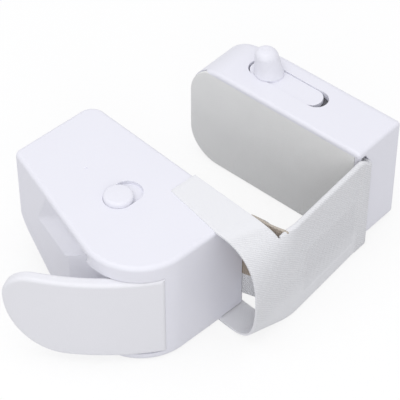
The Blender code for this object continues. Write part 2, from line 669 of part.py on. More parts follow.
def cut_lever_tip(lever):
    """Rounds the paddle's end: a tight curve above and a long one below."""
    curve = lever_curve(0, 12)
    tip = Vector(curve[-1])
    along = (tip - Vector(curve[-4])).normalized()
    out = OVERRUN + TIP_LOW_ROUND_ALONG
    top = [(-TIP_TOP_ROUND + TIP_TOP_ROUND * cos(a), LEVER_TOP - TIP_TOP_ROUND + TIP_TOP_ROUND * sin(a))
           for a in [pi / 2 * i / 6 for i in range(7)]]
    low = [(-TIP_LOW_ROUND_ALONG + TIP_LOW_ROUND_ALONG * cos(a), LEVER_LOW + TIP_LOW_ROUND_UP * (1 + sin(a)))
           for a in [-pi / 2 + pi / 2 * i / 9 for i in range(10)]]
    above = top + [(-TIP_TOP_ROUND, LEVER_TOP + OVERRUN), (out, LEVER_TOP + OVERRUN),
                   (out, LEVER_TOP - TIP_TOP_ROUND)]
    below = low + [(out, LEVER_LOW + TIP_LOW_ROUND_UP), (out, LEVER_LOW - OVERRUN),
                   (-TIP_LOW_ROUND_ALONG, LEVER_LOW - OVERRUN)]
    for outline in (above, below):
        bm = prism(outline, -TIP_LOW_ROUND_ALONG, TIP_LOW_ROUND_ALONG, "Y")
        for vert in bm.verts:
            run, side, height = vert.co
            vert.co = (tip.x + along.x * run - along.y * side, tip.y + along.y * run + along.x * side, height)
        cut(lever, bm)


def cam_outline():
    """Spiral whose radius grows evenly with angle, so that the plate moves in step with the lever."""
    end = LEVER_CLOSE + CAM_RUN_OUT
    steps = 14
    angles = [-CAM_LEAD + (end + CAM_LEAD) * i / steps for i in range(steps + 1)]
    spiral = []
    for angle in angles:
        radius = CAM_RADIUS + CAM_RISE_PER_RADIAN * angle
        spiral.append((radius * cos(angle), radius * sin(angle)))
    return [(0, 0)] + spiral


def lock_notch(turn):
    """Slot in the lock disc for the lock pin, with the lever turned by this much."""
    start = (LOCK_PIN_X - LOCK_DISC_RADIUS / 2, LOCK_PIN_Y)
    end = (LOCK_PIN_X + BUTTON_TRAVEL, LOCK_PIN_Y)
    return turned(stadium(start, end, LOCK_PIN_RADIUS + SLIDE_GAP, 6), turn)


def build_plate(white, rubber, steel):
    low, high = plate_window(0)
    flange_low = (low[0] - PLATE_RIM, low[1] - PLATE_RIM)
    flange_high = (high[0] + PLATE_RIM, high[1] + PLATE_RIM)
    plate = place("pressure_plate", box((FLANGE_BACK, *flange_low), (FLANGE_FRONT, *flange_high)), None, white)
    join(plate, box((FLANGE_BACK + GAP, *low), (PLATE_FACE, *high)))
    nose = CAM_RADIUS + GAP
    half = NOSE_WIDTH / 2
    outline = [(nose, -NOSE_TIP / 2), (nose + half - NOSE_TIP / 2, -half), (FLANGE_BACK + GAP, -half)]
    outline += [(FLANGE_BACK + GAP, half), (nose + half - NOSE_TIP / 2, half), (nose, NOSE_TIP / 2)]
    join(plate, prism(outline, CAM_LOW + GAP, CAM_LOW + CAM_HEIGHT - GAP))
    spans = [(low[0] - PLATE_RIM - CUP_SPACING_LOW, low[0] + CUP_WIDTH - PLATE_RIM - CUP_SPACING_LOW),
             (high[0] + PLATE_RIM + CUP_SPACING_HIGH - CUP_WIDTH, high[0] + PLATE_RIM + CUP_SPACING_HIGH)]
    cup_back = FLANGE_FRONT - CUP_DEPTH - CUP_BOTTOM
    for number, (near, far) in enumerate(spans, 1):
        middle = (near + far) / 2
        join(plate, box((cup_back, near, PLATE_Z - CUP_WIDTH / 2), (FLANGE_FRONT - GAP, far, PLATE_Z + CUP_WIDTH / 2)))
        seat = FLANGE_FRONT - CUP_DEPTH
        bore = SPRING_RADIUS + SPRING_WIRE + GAP
        cut(plate, cylinder((middle, PLATE_Z), bore, seat, FLANGE_FRONT + OVERRUN, "X", 14))
        ends = (seat + GAP + SPRING_WIRE, INNER_SIDE - GAP - SPRING_WIRE)
        start, end = (ends[0], middle, PLATE_Z), (ends[1], middle, PLATE_Z)
        spring(f"plate_spring_{number}", start, end, SPRING_RADIUS, steel, None)
    pad = place("pressure_pad", box((PLATE_FACE + GAP, *low), (PIN_TO_INNER_FACE, *high)), None, rubber)
    round_edges(pad, GAP)


def build_lock(white, grey, steel):
    floor = BODY_HEIGHT - BUTTON_RECESS + GAP
    top = BODY_HEIGHT + BUTTON_PROUD
    soft = BUTTON_RECESS
    profile = [(0, LOCK_SLIDE_TOP + GAP), (STEM_RADIUS, LOCK_SLIDE_TOP + GAP), (STEM_RADIUS, floor),
               (BUTTON_RADIUS, floor), (BUTTON_RADIUS, top - soft), (BUTTON_RADIUS - soft / 3, top - soft / 3),
               (BUTTON_RADIUS - soft, top), (0, top)]
    button = place("lock_button", lathe(profile, (BUTTON_X, BUTTON_Y)), None, white)
    cut(button, cylinder((BUTTON_X, BUTTON_Y), SCREW_RADIUS + GAP, 0, BODY_HEIGHT, steps=12))
    side = LOCK_SLIDE_SIDE
    low, high = LOCK_SLIDE_LOW, LOCK_SLIDE_TOP
    slide = place("lock_slide", box((BUTTON_X - side, BUTTON_Y - side, low), (BUTTON_X + side, BUTTON_Y + side, high)),
                  None, grey)
    arm = LOCK_ARM_HALF
    join(slide, box((LOCK_PIN_X - arm, LOCK_PIN_Y - arm, low + GAP),
                    (BUTTON_X - arm, BUTTON_Y - side + arm, high - GAP)))
    join(slide, cylinder((LOCK_PIN_X, LOCK_PIN_Y), LOCK_PIN_RADIUS, LOCK_DISC_LOW + GAP, high - LOCK_SLIDE_THICKNESS / 2,
                         steps=16))
    cut(slide, cylinder((BUTTON_X, BUTTON_Y), SCREW_RADIUS + GAP, 0, BODY_HEIGHT, steps=12))
    length = BODY_HEIGHT - LOCK_SLIDE_LOW - GAP
    place("lock_screw", screw((BUTTON_X, BUTTON_Y), low - GAP - SCREW_HEAD_HEIGHT, length), None, steel)


def liner_anchor_path():
    """From the hem's rod in the body to the fold, along the middle of the liner."""
    slot_y = END_Y + HEM_FROM_END
    face = PIN_TO_INNER_FACE - LINER_THICKNESS / 2
    rod = (PIN_TO_INNER_FACE - HEM_FROM_INNER_FACE, slot_y)
    bend = arc((face - LINER_BEND, slot_y - LINER_BEND), LINER_BEND, pi / 2, 0, 5)
    out = [(face, END_Y - 0.1 * FOLD_BEYOND_END), (face + 0.2 * FOLD_BEYOND_FACE, END_Y - 0.35 * FOLD_BEYOND_END),
           (face + 0.65 * FOLD_BEYOND_FACE, END_Y - 0.68 * FOLD_BEYOND_END), (FOLD_X, FOLD_Y)]
    return [rod] + bend + out


def loop_grid():
    """Middle of the woven loop: a flap on the body's top, a bow round its end, a flap below it."""
    top = BODY_HEIGHT - FLAP_RECESS + GAP + COVER_THICKNESS / 2
    low = FLAP_RECESS_BELOW - GAP - COVER_THICKNESS / 2
    middle, half = (top + low) / 2, (top - low) / 2
    steps, columns = 20, 5
    left = PIN_TO_INNER_FACE - FLAP_WIDTH
    grid = []

    def row(y_of, z_of, x_left, x_right):
        points = []
        for c in range(columns):
            v = c / (columns - 1)
            points.append(Vector((x_left + (x_right - x_left) * v, y_of(v), z_of(v))))
        return points

    flap_end = END_Y + FLAP_LENGTH
    grid.append(row(lambda v: flap_end, lambda v: top, left + FLAP_TAPER, PIN_TO_INNER_FACE))
    grid.append(row(lambda v: END_Y + GAP, lambda v: top, left, PIN_TO_INNER_FACE))
    for i in range(1, steps):
        t = pi * i / steps
        power = [LOOP_ROUND + (LOOP_FOLD_SQUARE - LOOP_ROUND) * c / (columns - 1) for c in range(columns)]
        reach = [LOOP_REACH + (LOOP_FOLD_REACH - LOOP_REACH) * c / (columns - 1) for c in range(columns)]
        x_left = left + LOOP_SLANT * i / steps
        x_right = PIN_TO_INNER_FACE + LOOP_FOLD_BULGE * sin(t) ** 2
        points = []
        for c in range(columns):
            up = cos(t)
            rise = abs(up) ** power[c] * (1 if up > 0 else -1)
            x = x_left + (x_right - x_left) * c / (columns - 1)
            points.append(Vector((x, END_Y - reach[c] * sin(t) ** power[c], middle + half * rise)))
        grid.append(points)
    grid.append(row(lambda v: END_Y + GAP, lambda v: low, left + LOOP_SLANT, PIN_TO_INNER_FACE))
    grid.append(row(lambda v: flap_end, lambda v: low, left + LOOP_SLANT, PIN_TO_INNER_FACE))
    return grid


def build_strap_on_body(woven, webbing, steel):
    place("strap_loop", sheet(loop_grid(), COVER_THICKNESS), None, woven)
    path = liner_anchor_path()
    anchor = place("strap_liner_anchor", prism(ribbon(path, LINER_THICKNESS), LINER_LOW, LINER_HIGH), None, webbing)
    join(anchor, cylinder(path[0], HEM_RADIUS, LINER_LOW + GAP, LINER_HIGH - GAP, steps=18))
    cut(anchor, cylinder(path[0], ROD_RADIUS + GAP, 0, BODY_HEIGHT, steps=16))
    place("strap_rod", cylinder(path[0], ROD_RADIUS, LINER_LOW - GAP, LINER_HIGH, steps=16), None, steel)


def build_bridge(woven, webbing, fold):
    near = HINGE_GAP
    far = BRIDGE_LENGTH - HINGE_GAP
    half = LINER_THICKNESS / 2
    place("strap_liner", box((near - half, -half, LINER_LOW), (far + half, half, LINER_HIGH)), fold, webbing)
    outer = COVER_OFFSET + COVER_THICKNESS / 2
    inner = COVER_OFFSET - COVER_THICKNESS / 2
    place("strap_cover", box((near, -outer, STRAP_LOW), (far, -inner, STRAP_HIGH)), fold, woven)


def jaw_outline(inset):
    """The jaw seen along X, as (y, z) points, with its walls moved in by inset."""
    front, back = JAW_FRONT + inset, JAW_BACK - inset
    low, high = inset, JAW_HEIGHT - inset
    near = max(JAW_FRONT_ROUND - inset, GAP)
    lower = JAW_LOW_ROUND - inset
    upper = JAW_TOP_ROUND - inset
    outline = arc((front + near, low + near), near, pi, 3 * pi / 2, 3)
    outline += arc((back - lower, low + lower), lower, -pi / 2, 0, 9)
    outline += arc((back - upper, high - upper), upper, 0, pi / 2, 8)
    outline += [(front, high)]
    return outline


def pad_outline():
    """The jaw's pad as (y, z) points: it covers the inner face but for a strip in front and one at the top."""
    front, top = JAW_FRONT + JAW_RIM_FRONT + GAP, JAW_HEIGHT - JAW_RIM_TOP - GAP
    lower, upper = JAW_LOW_ROUND - GAP, JAW_TOP_ROUND - GAP
    meets = asin((top - JAW_HEIGHT + JAW_TOP_ROUND) / upper)
    outline = [(front, GAP)] + arc((JAW_BACK - JAW_LOW_ROUND, JAW_LOW_ROUND), lower, -pi / 2, 0, 9)
    outline += arc((JAW_BACK - JAW_TOP_ROUND, JAW_HEIGHT - JAW_TOP_ROUND), upper, 0, meets, 6)
    return outline + [(front, top)]


def build_jaw(white, foam, steel, jaw):
    shell = place("jaw_shell", prism(jaw_outline(0), 0, JAW_THICKNESS, "X"), jaw, white)
    round_edges(shell, EDGE_ROUND)
    outer_side = JAW_THICKNESS - JAW_WALL
    cut(shell, prism(jaw_outline(JAW_WALL), -OVERRUN, outer_side, "X"))
    opening_end = OPENING_START + OPENING_WIDTH
    cut(shell, box((OPENING_START, JAW_FRONT - OVERRUN, -OVERRUN), (opening_end, JAW_FRONT + JAW_WALL + GAP, OPENING_TOP)))
    slot = stadium((SLOT_X, SLOT_LOW_Y), (SLOT_X, SLOT_HIGH_Y), SLOT_RADIUS)
    cut(shell, prism(slot, JAW_TOP_UNDERSIDE - OVERRUN, JAW_HEIGHT + OVERRUN))
    screw_y = JAW_BACK - JAW_SCREW_FROM_BACK
    plate_low = JAW_PAD_THICKNESS + GAP
    plate_high = plate_low + JAW_PLATE_THICKNESS
    seat_low = (-OVERRUN, JAW_FRONT + JAW_RIM_FRONT, -OVERRUN)
    cut(shell, box(seat_low, (plate_low, JAW_BACK + OVERRUN, JAW_HEIGHT - JAW_RIM_TOP)))
    for height in JAW_SCREW_HEIGHTS:
        centre = (screw_y, height)
        join(shell, cylinder(centre, BOSS_RADIUS, plate_high + GAP, outer_side + JAW_WALL / 2, "X", 16))
        cut(shell, cylinder(centre, SCREW_RADIUS + GAP, plate_high - OVERRUN, plate_high + SCREW_LENGTH, "X", 12))
    for near in (PAWL_Y - SLIDE_GAP - GUIDE_RIB, PAWL_Y + PAWL_LENGTH + SLIDE_GAP):
        low = (PAWL_FACE + PAWL_DEPTH / 2, near, PAWL_TOP - PAWL_HEIGHT)
        join(shell, box(low, (outer_side + JAW_WALL / 2, near + GUIDE_RIB, PAWL_TOP)))
    rib = STOP_RIB_WIDTH / 2
    spring_seat = SLIDE_PLATE_FRONT - SLIDER_SPRING_LENGTH
    for near in (spring_seat - STOP_RIB, SLIDE_PLATE_BACK + GAP):
        low = (SLOT_X - rib, near, SLIDE_PLATE_LOW)
        join(shell, box(low, (SLOT_X + rib, near + STOP_RIB, JAW_TOP_UNDERSIDE + JAW_WALL / 2)))

    inside = jaw_outline(JAW_WALL + GAP)
    plate = place("jaw_plate", prism(inside, plate_low, plate_high, "X"), jaw, white)
    for number, height in enumerate(JAW_SCREW_HEIGHTS, 1):
        centre = (screw_y, height)
        cut(plate, cylinder(centre, SCREW_HEAD_RADIUS + GAP, 0, plate_low + SCREW_HEAD_HEIGHT + 2 * GAP, "X", 16))
        cut(plate, cylinder(centre, SCREW_RADIUS + GAP, 0, plate_high + OVERRUN, "X", 12))
        place(f"jaw_screw_{number}", screw(centre, plate_low + GAP, SCREW_LENGTH - OVERRUN, "X"), jaw, steel)
    pad = place("jaw_pad", prism(pad_outline(), 0, JAW_PAD_THICKNESS, "X"), jaw, foam)
    round_edges(pad, GAP)


def build_strap_in_jaw(woven, webbing, steel, jaw):
    turn = (COVER_END_X - TURN_RADIUS, -COVER_OFFSET + TURN_RADIUS)
    path = [(HINGE_GAP, -COVER_OFFSET)] + arc(turn, TURN_RADIUS, -pi / 2, 0, 7)
    path += [(COVER_END_X, JAW_FRONT + JAW_WALL)]
    place("strap_cover_end", prism(ribbon(path, COVER_THICKNESS), STRAP_LOW, OPENING_TOP - GAP), jaw, woven)
    radius = TURN_RADIUS - COVER_OFFSET
    path = [(0, 0)] + arc((TAIL_X - radius, radius), radius, -pi / 2, 0, 6) + [(TAIL_X, TAIL_LENGTH)]
    tail = place("strap_liner_tail", prism(ribbon(path, LINER_THICKNESS), LINER_LOW, TAIL_HIGH), jaw, webbing)
    rod = (TAIL_X + HEM_RADIUS - LINER_THICKNESS / 2, TAIL_LENGTH + HEM_RADIUS / 2)
    join(tail, cylinder(rod, HEM_RADIUS, LINER_LOW + GAP, TAIL_HIGH - GAP, steps=18))
    cut(tail, cylinder(rod, ROD_RADIUS + GAP, 0, JAW_HEIGHT, steps=16))
    place("tail_rod", cylinder(rod, ROD_RADIUS, LINER_LOW - GAP, TAIL_HIGH, steps=16), jaw, steel)


def build_strap_lock(white, grey, steel, jaw):
    low = SLIDE_PLATE_TOP + GAP
    top = JAW_HEIGHT + SLIDER_PROUD
    bar = stadium((SLOT_X, SLIDER_LOW_Y), (SLOT_X, SLIDER_HIGH_Y), SLIDER_HALF)
    slider = place("jaw_slider", prism(bar, low, top), jaw, white)
    round_edges(slider, GAP)
    knob_top = top + KNOB_HEIGHT
    rounded = [(KNOB_TOP_RADIUS - KNOB_TOP_ROUND + KNOB_TOP_ROUND * cos(a), knob_top - KNOB_TOP_ROUND * (1 - sin(a)))
               for a in [pi / 2 * i / 4 for i in range(5)]]
    profile = [(0, top - SLIDER_PROUD / 2), (KNOB_BASE_RADIUS, top - SLIDER_PROUD / 2), (KNOB_BASE_RADIUS, top)]
    join(slider, lathe(profile + rounded + [(0, knob_top)], (SLOT_X, KNOB_Y)))
    screw_y = KNOB_Y - KNOB_BASE_RADIUS
    cut(slider, cylinder((SLOT_X, screw_y), SCREW_RADIUS + GAP, 0, top - SLIDER_PROUD, steps=12))

    plate = place("slider_plate", box((SLOT_X - SLIDE_PLATE_HALF, SLIDE_PLATE_FRONT, SLIDE_PLATE_LOW),
                                      (SLOT_X + SLIDE_PLATE_HALF, SLIDE_PLATE_BACK, SLIDE_PLATE_TOP)), jaw, grey)
    cut(plate, cylinder((SLOT_X, screw_y), SCREW_RADIUS + GAP, 0, JAW_HEIGHT, steps=12))
    head_low = SLIDE_PLATE_LOW - GAP - SCREW_HEAD_HEIGHT
    length = top - SLIDER_PROUD - GAP - SLIDE_PLATE_LOW
    place("slider_screw", screw((SLOT_X, screw_y), head_low, length), jaw, steel)

    pin = (PAWL_FACE + PAWL_PIN_DEPTH, PAWL_Y + PAWL_LENGTH / 2)
    slot_end = (pin[0] + PAWL_RATIO * SLIDER_TRAVEL, pin[1] + SLIDER_TRAVEL)
    cut(plate, prism(stadium(pin, slot_end, PAWL_PIN_RADIUS + SLIDE_GAP, 6), 0, JAW_HEIGHT))
    pawl = place("strap_pawl", prism(pawl_outline(), PAWL_TOP - PAWL_HEIGHT, PAWL_TOP), jaw, grey)
    join(pawl, cylinder(pin, PAWL_PIN_RADIUS, PAWL_TOP - GAP, SLIDE_PLATE_TOP - GAP, steps=14))
    middle = (SLIDE_PLATE_LOW + SLIDE_PLATE_TOP) / 2
    near = SLIDE_PLATE_FRONT - SLIDER_SPRING_LENGTH + GAP + SPRING_WIRE
    far = SLIDE_PLATE_FRONT - GAP - SPRING_WIRE
    spring("slider_spring", (SLOT_X, near, middle), (SLOT_X, far, middle), SLIDER_SPRING_RADIUS, steel, jaw)


def pawl_outline():
    """Block with teeth on the side that faces the strap's tail."""
    pitch = PAWL_LENGTH / PAWL_TEETH
    back = PAWL_FACE + PAWL_DEPTH
    outline = [(back, PAWL_Y), (back, PAWL_Y + PAWL_LENGTH)]
    for i in range(PAWL_TEETH):
        end = PAWL_Y + PAWL_LENGTH - i * pitch
        outline += [(PAWL_FACE + PAWL_TOOTH_DEPTH, end), (PAWL_FACE, end - pitch / 2)]
    return outline + [(PAWL_FACE + PAWL_TOOTH_DEPTH, PAWL_Y)]


def build():
    clear_scene()
    white = material("white_plastic", (0.86, 0.86, 0.88), 0.45)
    grey = material("grey_plastic", (0.16, 0.16, 0.17), 0.50)
    woven = material("woven_strap", (0.80, 0.80, 0.80), 0.85)
    webbing = material("liner_webbing", (0.55, 0.53, 0.50), 0.85)
    foam = material("grey_pad", (0.70, 0.71, 0.70), 0.75)
    rubber = material("rubber_pad", (0.45, 0.46, 0.45), 0.80)
    steel = material("steel", (0.60, 0.60, 0.62), 0.30, 1.0)
    fold = empty("fold_axis", (FOLD_X, FOLD_Y, 0), BRIDGE_TURN)
    jaw = empty("jaw_axis", (BRIDGE_LENGTH, 0, 0), JAW_TURN_FROM_BRIDGE, fold)
    build_body(white, steel)
    build_lever(white, steel)
    build_plate(white, rubber, steel)
    build_lock(white, grey, steel)
    build_strap_on_body(woven, webbing, steel)
    build_bridge(woven, webbing, fold)
    build_jaw(white, foam, steel, jaw)
    build_strap_in_jaw(woven, webbing, steel, jaw)
    build_strap_lock(white, grey, steel, jaw)


build()
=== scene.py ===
"""Looks of the child safety door lock.

Fine casings, the woven strap, pads, springs, finishes, light and camera. All lengths are in metres.
"""

import json
from math import acos, asin, atan2, cos, pi, radians, sin, sqrt, tan

import bmesh
import bpy
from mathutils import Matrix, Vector


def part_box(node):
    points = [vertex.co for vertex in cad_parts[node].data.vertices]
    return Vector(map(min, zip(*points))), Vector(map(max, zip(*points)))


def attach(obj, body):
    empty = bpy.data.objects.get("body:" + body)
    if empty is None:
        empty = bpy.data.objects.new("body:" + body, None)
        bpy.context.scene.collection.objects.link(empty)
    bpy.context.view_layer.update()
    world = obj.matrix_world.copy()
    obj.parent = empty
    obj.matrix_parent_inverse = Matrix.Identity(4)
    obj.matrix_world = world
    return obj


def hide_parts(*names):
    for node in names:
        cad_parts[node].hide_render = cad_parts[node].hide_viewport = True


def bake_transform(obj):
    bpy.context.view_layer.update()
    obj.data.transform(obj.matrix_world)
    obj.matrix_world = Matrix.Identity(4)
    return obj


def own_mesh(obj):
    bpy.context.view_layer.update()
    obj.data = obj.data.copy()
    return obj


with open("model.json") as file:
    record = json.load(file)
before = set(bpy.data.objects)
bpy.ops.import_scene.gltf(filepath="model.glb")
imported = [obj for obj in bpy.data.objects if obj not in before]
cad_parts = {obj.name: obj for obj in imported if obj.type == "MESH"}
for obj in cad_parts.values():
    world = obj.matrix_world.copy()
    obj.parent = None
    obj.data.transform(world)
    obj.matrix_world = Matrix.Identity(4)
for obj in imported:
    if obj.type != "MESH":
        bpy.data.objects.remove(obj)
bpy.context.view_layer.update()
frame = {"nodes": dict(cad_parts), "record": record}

# Clearances, as in the part's source
GAP = 0.0003
SLIDE_GAP = 0.0004
LEVER_GAP = 0.0005
OVERRUN = 0.0020

# Meshes: points merged, points taken to lie on the outside, width of fine edges, limit of a mitre
WELD = 1e-6
SKIN = 0.00003
FINE_EDGE = 0.00025
MITRE = 0.4

# Body casing
BODY_HEIGHT = 0.0400
END_Y = -0.0183
MOUTH_Y = 0.0503
CORNER_RADIUS = 0.0183
FACE_X = 0.0265
FLARE = radians(14.3)
BODY_WALL = 0.0025
INNER_WALL = 0.0030
FLARE_WALL = 0.0070
TOP_WALL = 0.0024
EDGE_ROUND = 0.0015
FAR_CORNER = 0.0050
FLARE_CORNER = 0.0025
MOUTH_ROUND = 0.0110
MOUTH_SLOPE = radians(25)
MOUTH_SLOPE_START = 0.0227
BASE_END = 0.0212
BASE_LIP = 0.0027
BASE_THICKNESS = 0.0026
WINDOW_TOP = 0.0343
WINDOW_END_ANGLE = radians(186)
WINDOW_MARGIN = radians(1.1)
SCREEN_START_ANGLE = radians(120)
SCREEN_RADIUS = 0.0136
SCREEN_THICKNESS = 0.0030
PLATE_WINDOW_LOW = (-0.0030, 0.0116)
PLATE_WINDOW_HIGH = (0.0338, 0.0314)
MARK = (0.0050, 0.0291)
MARK_RADIUS = 0.0003

# Pocket under the rim of the flared wall; runs count from where the flare meets the round corner
SCOOP_DEPTH = 0.0060
SCOOP_LOW = 0.0230
SCOOP_TOP = 0.0380
SCOOP_LOW_RUN = (0.0152, 0.0334)
SCOOP_TOP_RUN = (-0.0060, 0.0257)
SCOOP_NEAR_RAMP = 1.2
SCOOP_FAR_RAMP = 0.5
SCOOP_NEAR_DEPTH = 0.0011
SCOOP_DEEPENING = 0.28
SCOOP_CREASE = 0.0008
SCOOP_PLAIN_RUN = 0.0010
SCOOP_MARGIN = 0.06

# Base screws, with proportions of the head
BASE_SCREWS = ((-0.0032, 0.0184), (0.0139, 0.0140), (0.0098, -0.0132))
BOSS_RADIUS = 0.0023
SCREW_RADIUS = 0.0012
SCREW_LENGTH = 0.0090
SCREW_TURN = 1.1
HEAD_RADIUS = 0.0019
HEAD_HEIGHT = 0.0012
HEAD_FACE = 0.86
HEAD_SLOPE = 0.3
CROSS_REACH = 0.575
CROSS_DEPTH = 0.6
CROSS_WIDTH = 0.00055

# Lever
LEVER_ROOT_ANGLE = radians(250)
LEVER_CLOSE = radians(46)
LEVER_PROUD = 0.0008
LEVER_THICKNESS = 0.0039
LEVER_CURVE_RADIUS = 0.0850
LEVER_TIP = (-0.0391, 0.0186)
LEVER_LOW = 0.0029
LEVER_TOP = 0.0341
LEVER_EDGE_ROUND = 0.0012
LEVER_INNER_RADIUS = 0.0165
PADDLE_START = -0.0003
TIP_TOP = (0.0105, 0.0099)
TIP_LOW = (0.0194, 0.0207)

# Lock button; a crown is given as shares of the radius, with the rise there
BUTTON = (0.0033, 0.0127)
BUTTON_RADIUS = 0.00465
BUTTON_TRAVEL = 0.0038
BUTTON_RECESS = 0.0012
BUTTON_PROUD = 0.0016
BUTTON_ROUND = 0.0010
BUTTON_CHAMFER = 0.0002
BUTTON_CROWN = ((0.45, 0.0001), (0, 0.00015))
STEM_RADIUS = 0.0012
STEM_LOW = 0.0376

# Travel that the springs take up
PLATE_TRAVEL = 0.0033
SLIDER_TRAVEL = 0.0022

# Jaw casing, along its own axes from the strap's hinge at the jaw
JAW_TURN = radians(4.5)
JAW_FRONT = 0.00085
JAW_BACK = 0.07075
JAW_THICKNESS = 0.0215
JAW_WALL = 0.0022
JAW_EDGE_ROUND = 0.0013
JAW_FAR_ROUND = 0.0038
JAW_FAR_SPAN = (0.0220, 0.0140)
JAW_TOP_ROUND = 0.0130
JAW_LOW_ROUND = 0.0120
JAW_FRONT_ROUND = 0.0022
JAW_RIM_TOP = 0.0017
JAW_RIM_FRONT = 0.0016
OPENING = (0.0013, 0.0060)
OPENING_TOP = 0.0376
OPENING_SLOPE = (0.0026, 0.0338)

# Jaw slider
SLOT_X = 0.0119
SLOT_Y = (0.02755, 0.05045)
SLOT_RADIUS = 0.0041
SLIDER_Y = (0.02965, 0.04995)
SLIDER_RADIUS = 0.00400
SLIDER_LOW = 0.0378
SLIDER_TOP = 0.0396
KNOB_Y = 0.04695
KNOB_BASE_RADIUS = 0.0049
KNOB_TOP_RADIUS = 0.0039
KNOB_FOOT = 0.04004
KNOB_TOP = 0.0486
KNOB_LEAN = 0.0017
KNOB_TOP_ROUND = 0.0026
KNOB_TAPER = radians(8)
KNOB_CROWN = ((0.3, 0.00012), (0, 0.00015))

# Pads
JAW_PAD_THICKNESS = 0.0012
JAW_PAD_CROWN = 0.0002
PRESSURE_PAD_CROWN = 0.0001
PAD_SET_BACK = 0.0001
PAD_EDGE = 0.0003
PAD_CORNER = 0.0008
PAD_RINGS = (0.06, 0.15, 0.3, 0.5)

# Strap cover: a flap on the body, a bow round its end, and a band to the jaw
COVER_THICKNESS = 0.0007
COVER_OFFSET = 0.0011
STRAP_LOW = 0.0005
STRAP_HIGH = 0.0385
FLAP_LENGTH = 0.0220
FLAP_WIDTH = 0.0126
FLAP_TAPER = 0.0026
FLAP_TOP = 0.04005
FLAP_LOW = 0.00055
FLAP_LOW_SEAT = 0.0014
FLAP_MAP_STRETCH = 1.4
LOOP_REACH = 0.0163
LOOP_FOLD_REACH = 0.0149
LOOP_ROUND = 0.80
LOOP_SQUARE = 0.45
LOOP_LOW = 0.66
LOOP_LOW_FOLD = 0.22
LOOP_BULGE = 0.0018
LOOP_SLANT = 0.0019
HALF_ROWS = 36
BOW_COLUMNS = 15
FLAP_ROWS = 14
BRIDGE_TURN = radians(8.05)
BRIDGE_LENGTH = 0.0400
BAND_END = 0.0380
BAND_TOP_JOIN = 0.0372
BAND_LOW_JOIN = 0.0018
BAND_JOIN_RUN = 0.0060
BAND_JOIN_SLOPE = 0.0070
HEM = 0.0006
HEM_LEG = 0.0006
HEM_START = 0.25
HEM_GROWTH = 0.0035
HEM_MAP_STEP = 0.00025
CLOTH_FOLD = 0.1000
PANEL = ((0.0093, 0.0060), (0.0368, 0.0240))
PLAIN_LEVEL = (0.0394, 0.0400)
PLAIN_DOWN = (0.036, 0.044)

# Strap liner, from its rod in the body along the band, with an ear at the fold
LINER_THICKNESS = 0.0009
LINER_LOW = 0.0055
LINER_HIGH = 0.0370
LINER_SLOT = 0.0062
LINER_BEND = 0.0016
LINER_OUT = 0.0002
LINER_JOIN = 0.0015
LINER_LEAD = (0.0030, 0.0006)
EAR_HEIGHT = 0.0026
EAR_RISE = 0.0012
EAR_FALL = 0.0120
EAR_LOSS = 0.5
EAR_END = 0.0030
ROD_INSET = 0.0080
ROD_RADIUS = 0.0013
STRIP_ROWS = 14

# Ends of the strap in the jaw
JAW_LEAD = 0.0019
JAW_ENTRY = 0.0012
COVER_END_X = 0.00500
COVER_END_REACH = 0.0015
COVER_END_DIP = 0.0036
DIP_START = 0.0010
COVER_DIP_RUN = 0.0055
TAIL_DIP_RUN = 0.0050
TURN_RADIUS = 0.0020
TAIL_X = 0.00485
TAIL_LENGTH = 0.0450
TAIL_HIGH = 0.0332
TAIL_SHIFT = (0.0035, 0.0060)
TAIL_HEM_START = pi - 0.3
HEM_RADIUS = 0.0026
FAR_FROM_FOLD = -1.0

# Spare liner, folded beside the body
FOLD_PITCH = 0.00092
FOLD_THICKNESS = 0.0007
FOLD_START = 0.0016
FOLD_ARM = 0.0042
FOLD_STEPS = 12
FOLD_BEND = 0.0007
FOLD_BEND_PULL = 0.0002
FOLD_TURN = 0.45
FOLD_LOW = 0.0150
FOLD_TOP = 0.0392
FOLD_FALL = 0.0036
FOLD_LAYER_DROP = 0.0008

# Floor, light and camera
FLOOR_REACH = 3.0
FLOOR_LEVEL = -0.0002
FLOOR_GLOW = 0.8
LIT_PLACE = (0.03, 0, 0.02)
CAMERA_LENS = 167.21
CAMERA_PLACE = (-0.25635, -0.29125, 0.42897)
CAMERA_DOWN = radians(44.345)
CAMERA_HEADING = radians(-44.017)

# Places and axes that follow
TOP_UNDERSIDE = BODY_HEIGHT - TOP_WALL
FOLD = Vector((0.0293, -0.0316, 0))
ALONG = Vector((cos(BRIDGE_TURN), sin(BRIDGE_TURN), 0))
INWARD = Vector((-sin(BRIDGE_TURN), cos(BRIDGE_TURN), 0))
JAW_HINGE = FOLD + ALONG * BRIDGE_LENGTH
JAW_X = Vector((cos(JAW_TURN), sin(JAW_TURN), 0))
JAW_Y = Vector((-sin(JAW_TURN), cos(JAW_TURN), 0))

# Where cloth crosses a hinge: the two bodies, X where the bend starts and ends, and Y
AT_FOLD = ("body", "bridge", 0.0269, 0.0340, FOLD.y)
AT_JAW = ("bridge", "jaw", 0.0672, 0.0706, JAW_HINGE.y)


def in_jaw(x, y, z):
    """A point of the jaw's own axes, in the row frame."""
    return JAW_HINGE + JAW_X * x + JAW_Y * y + Vector((0, 0, z))


def on_bridge(run, side, z):
    """A point of the strap's band: run along it, side towards the door."""
    return FOLD + ALONG * run + INWARD * side + Vector((0, 0, z))


def ease(x):
    x = min(max(x, 0.0), 1.0)
    return x * x * (3 - 2 * x)


def spaced(first, last, steps):
    """Evenly spaced numbers or points, both ends among them."""
    return [first + (last - first) * i / steps for i in range(steps + 1)]


# Shapes


def arc(centre, radius, start, end, steps):
    angles = spaced(start, end, steps)
    return [(centre[0] + radius * cos(a), centre[1] + radius * sin(a)) for a in angles]


def turned(outline, angle):
    return [(x * cos(angle) - y * sin(angle), x * sin(angle) + y * cos(angle)) for x, y in outline]


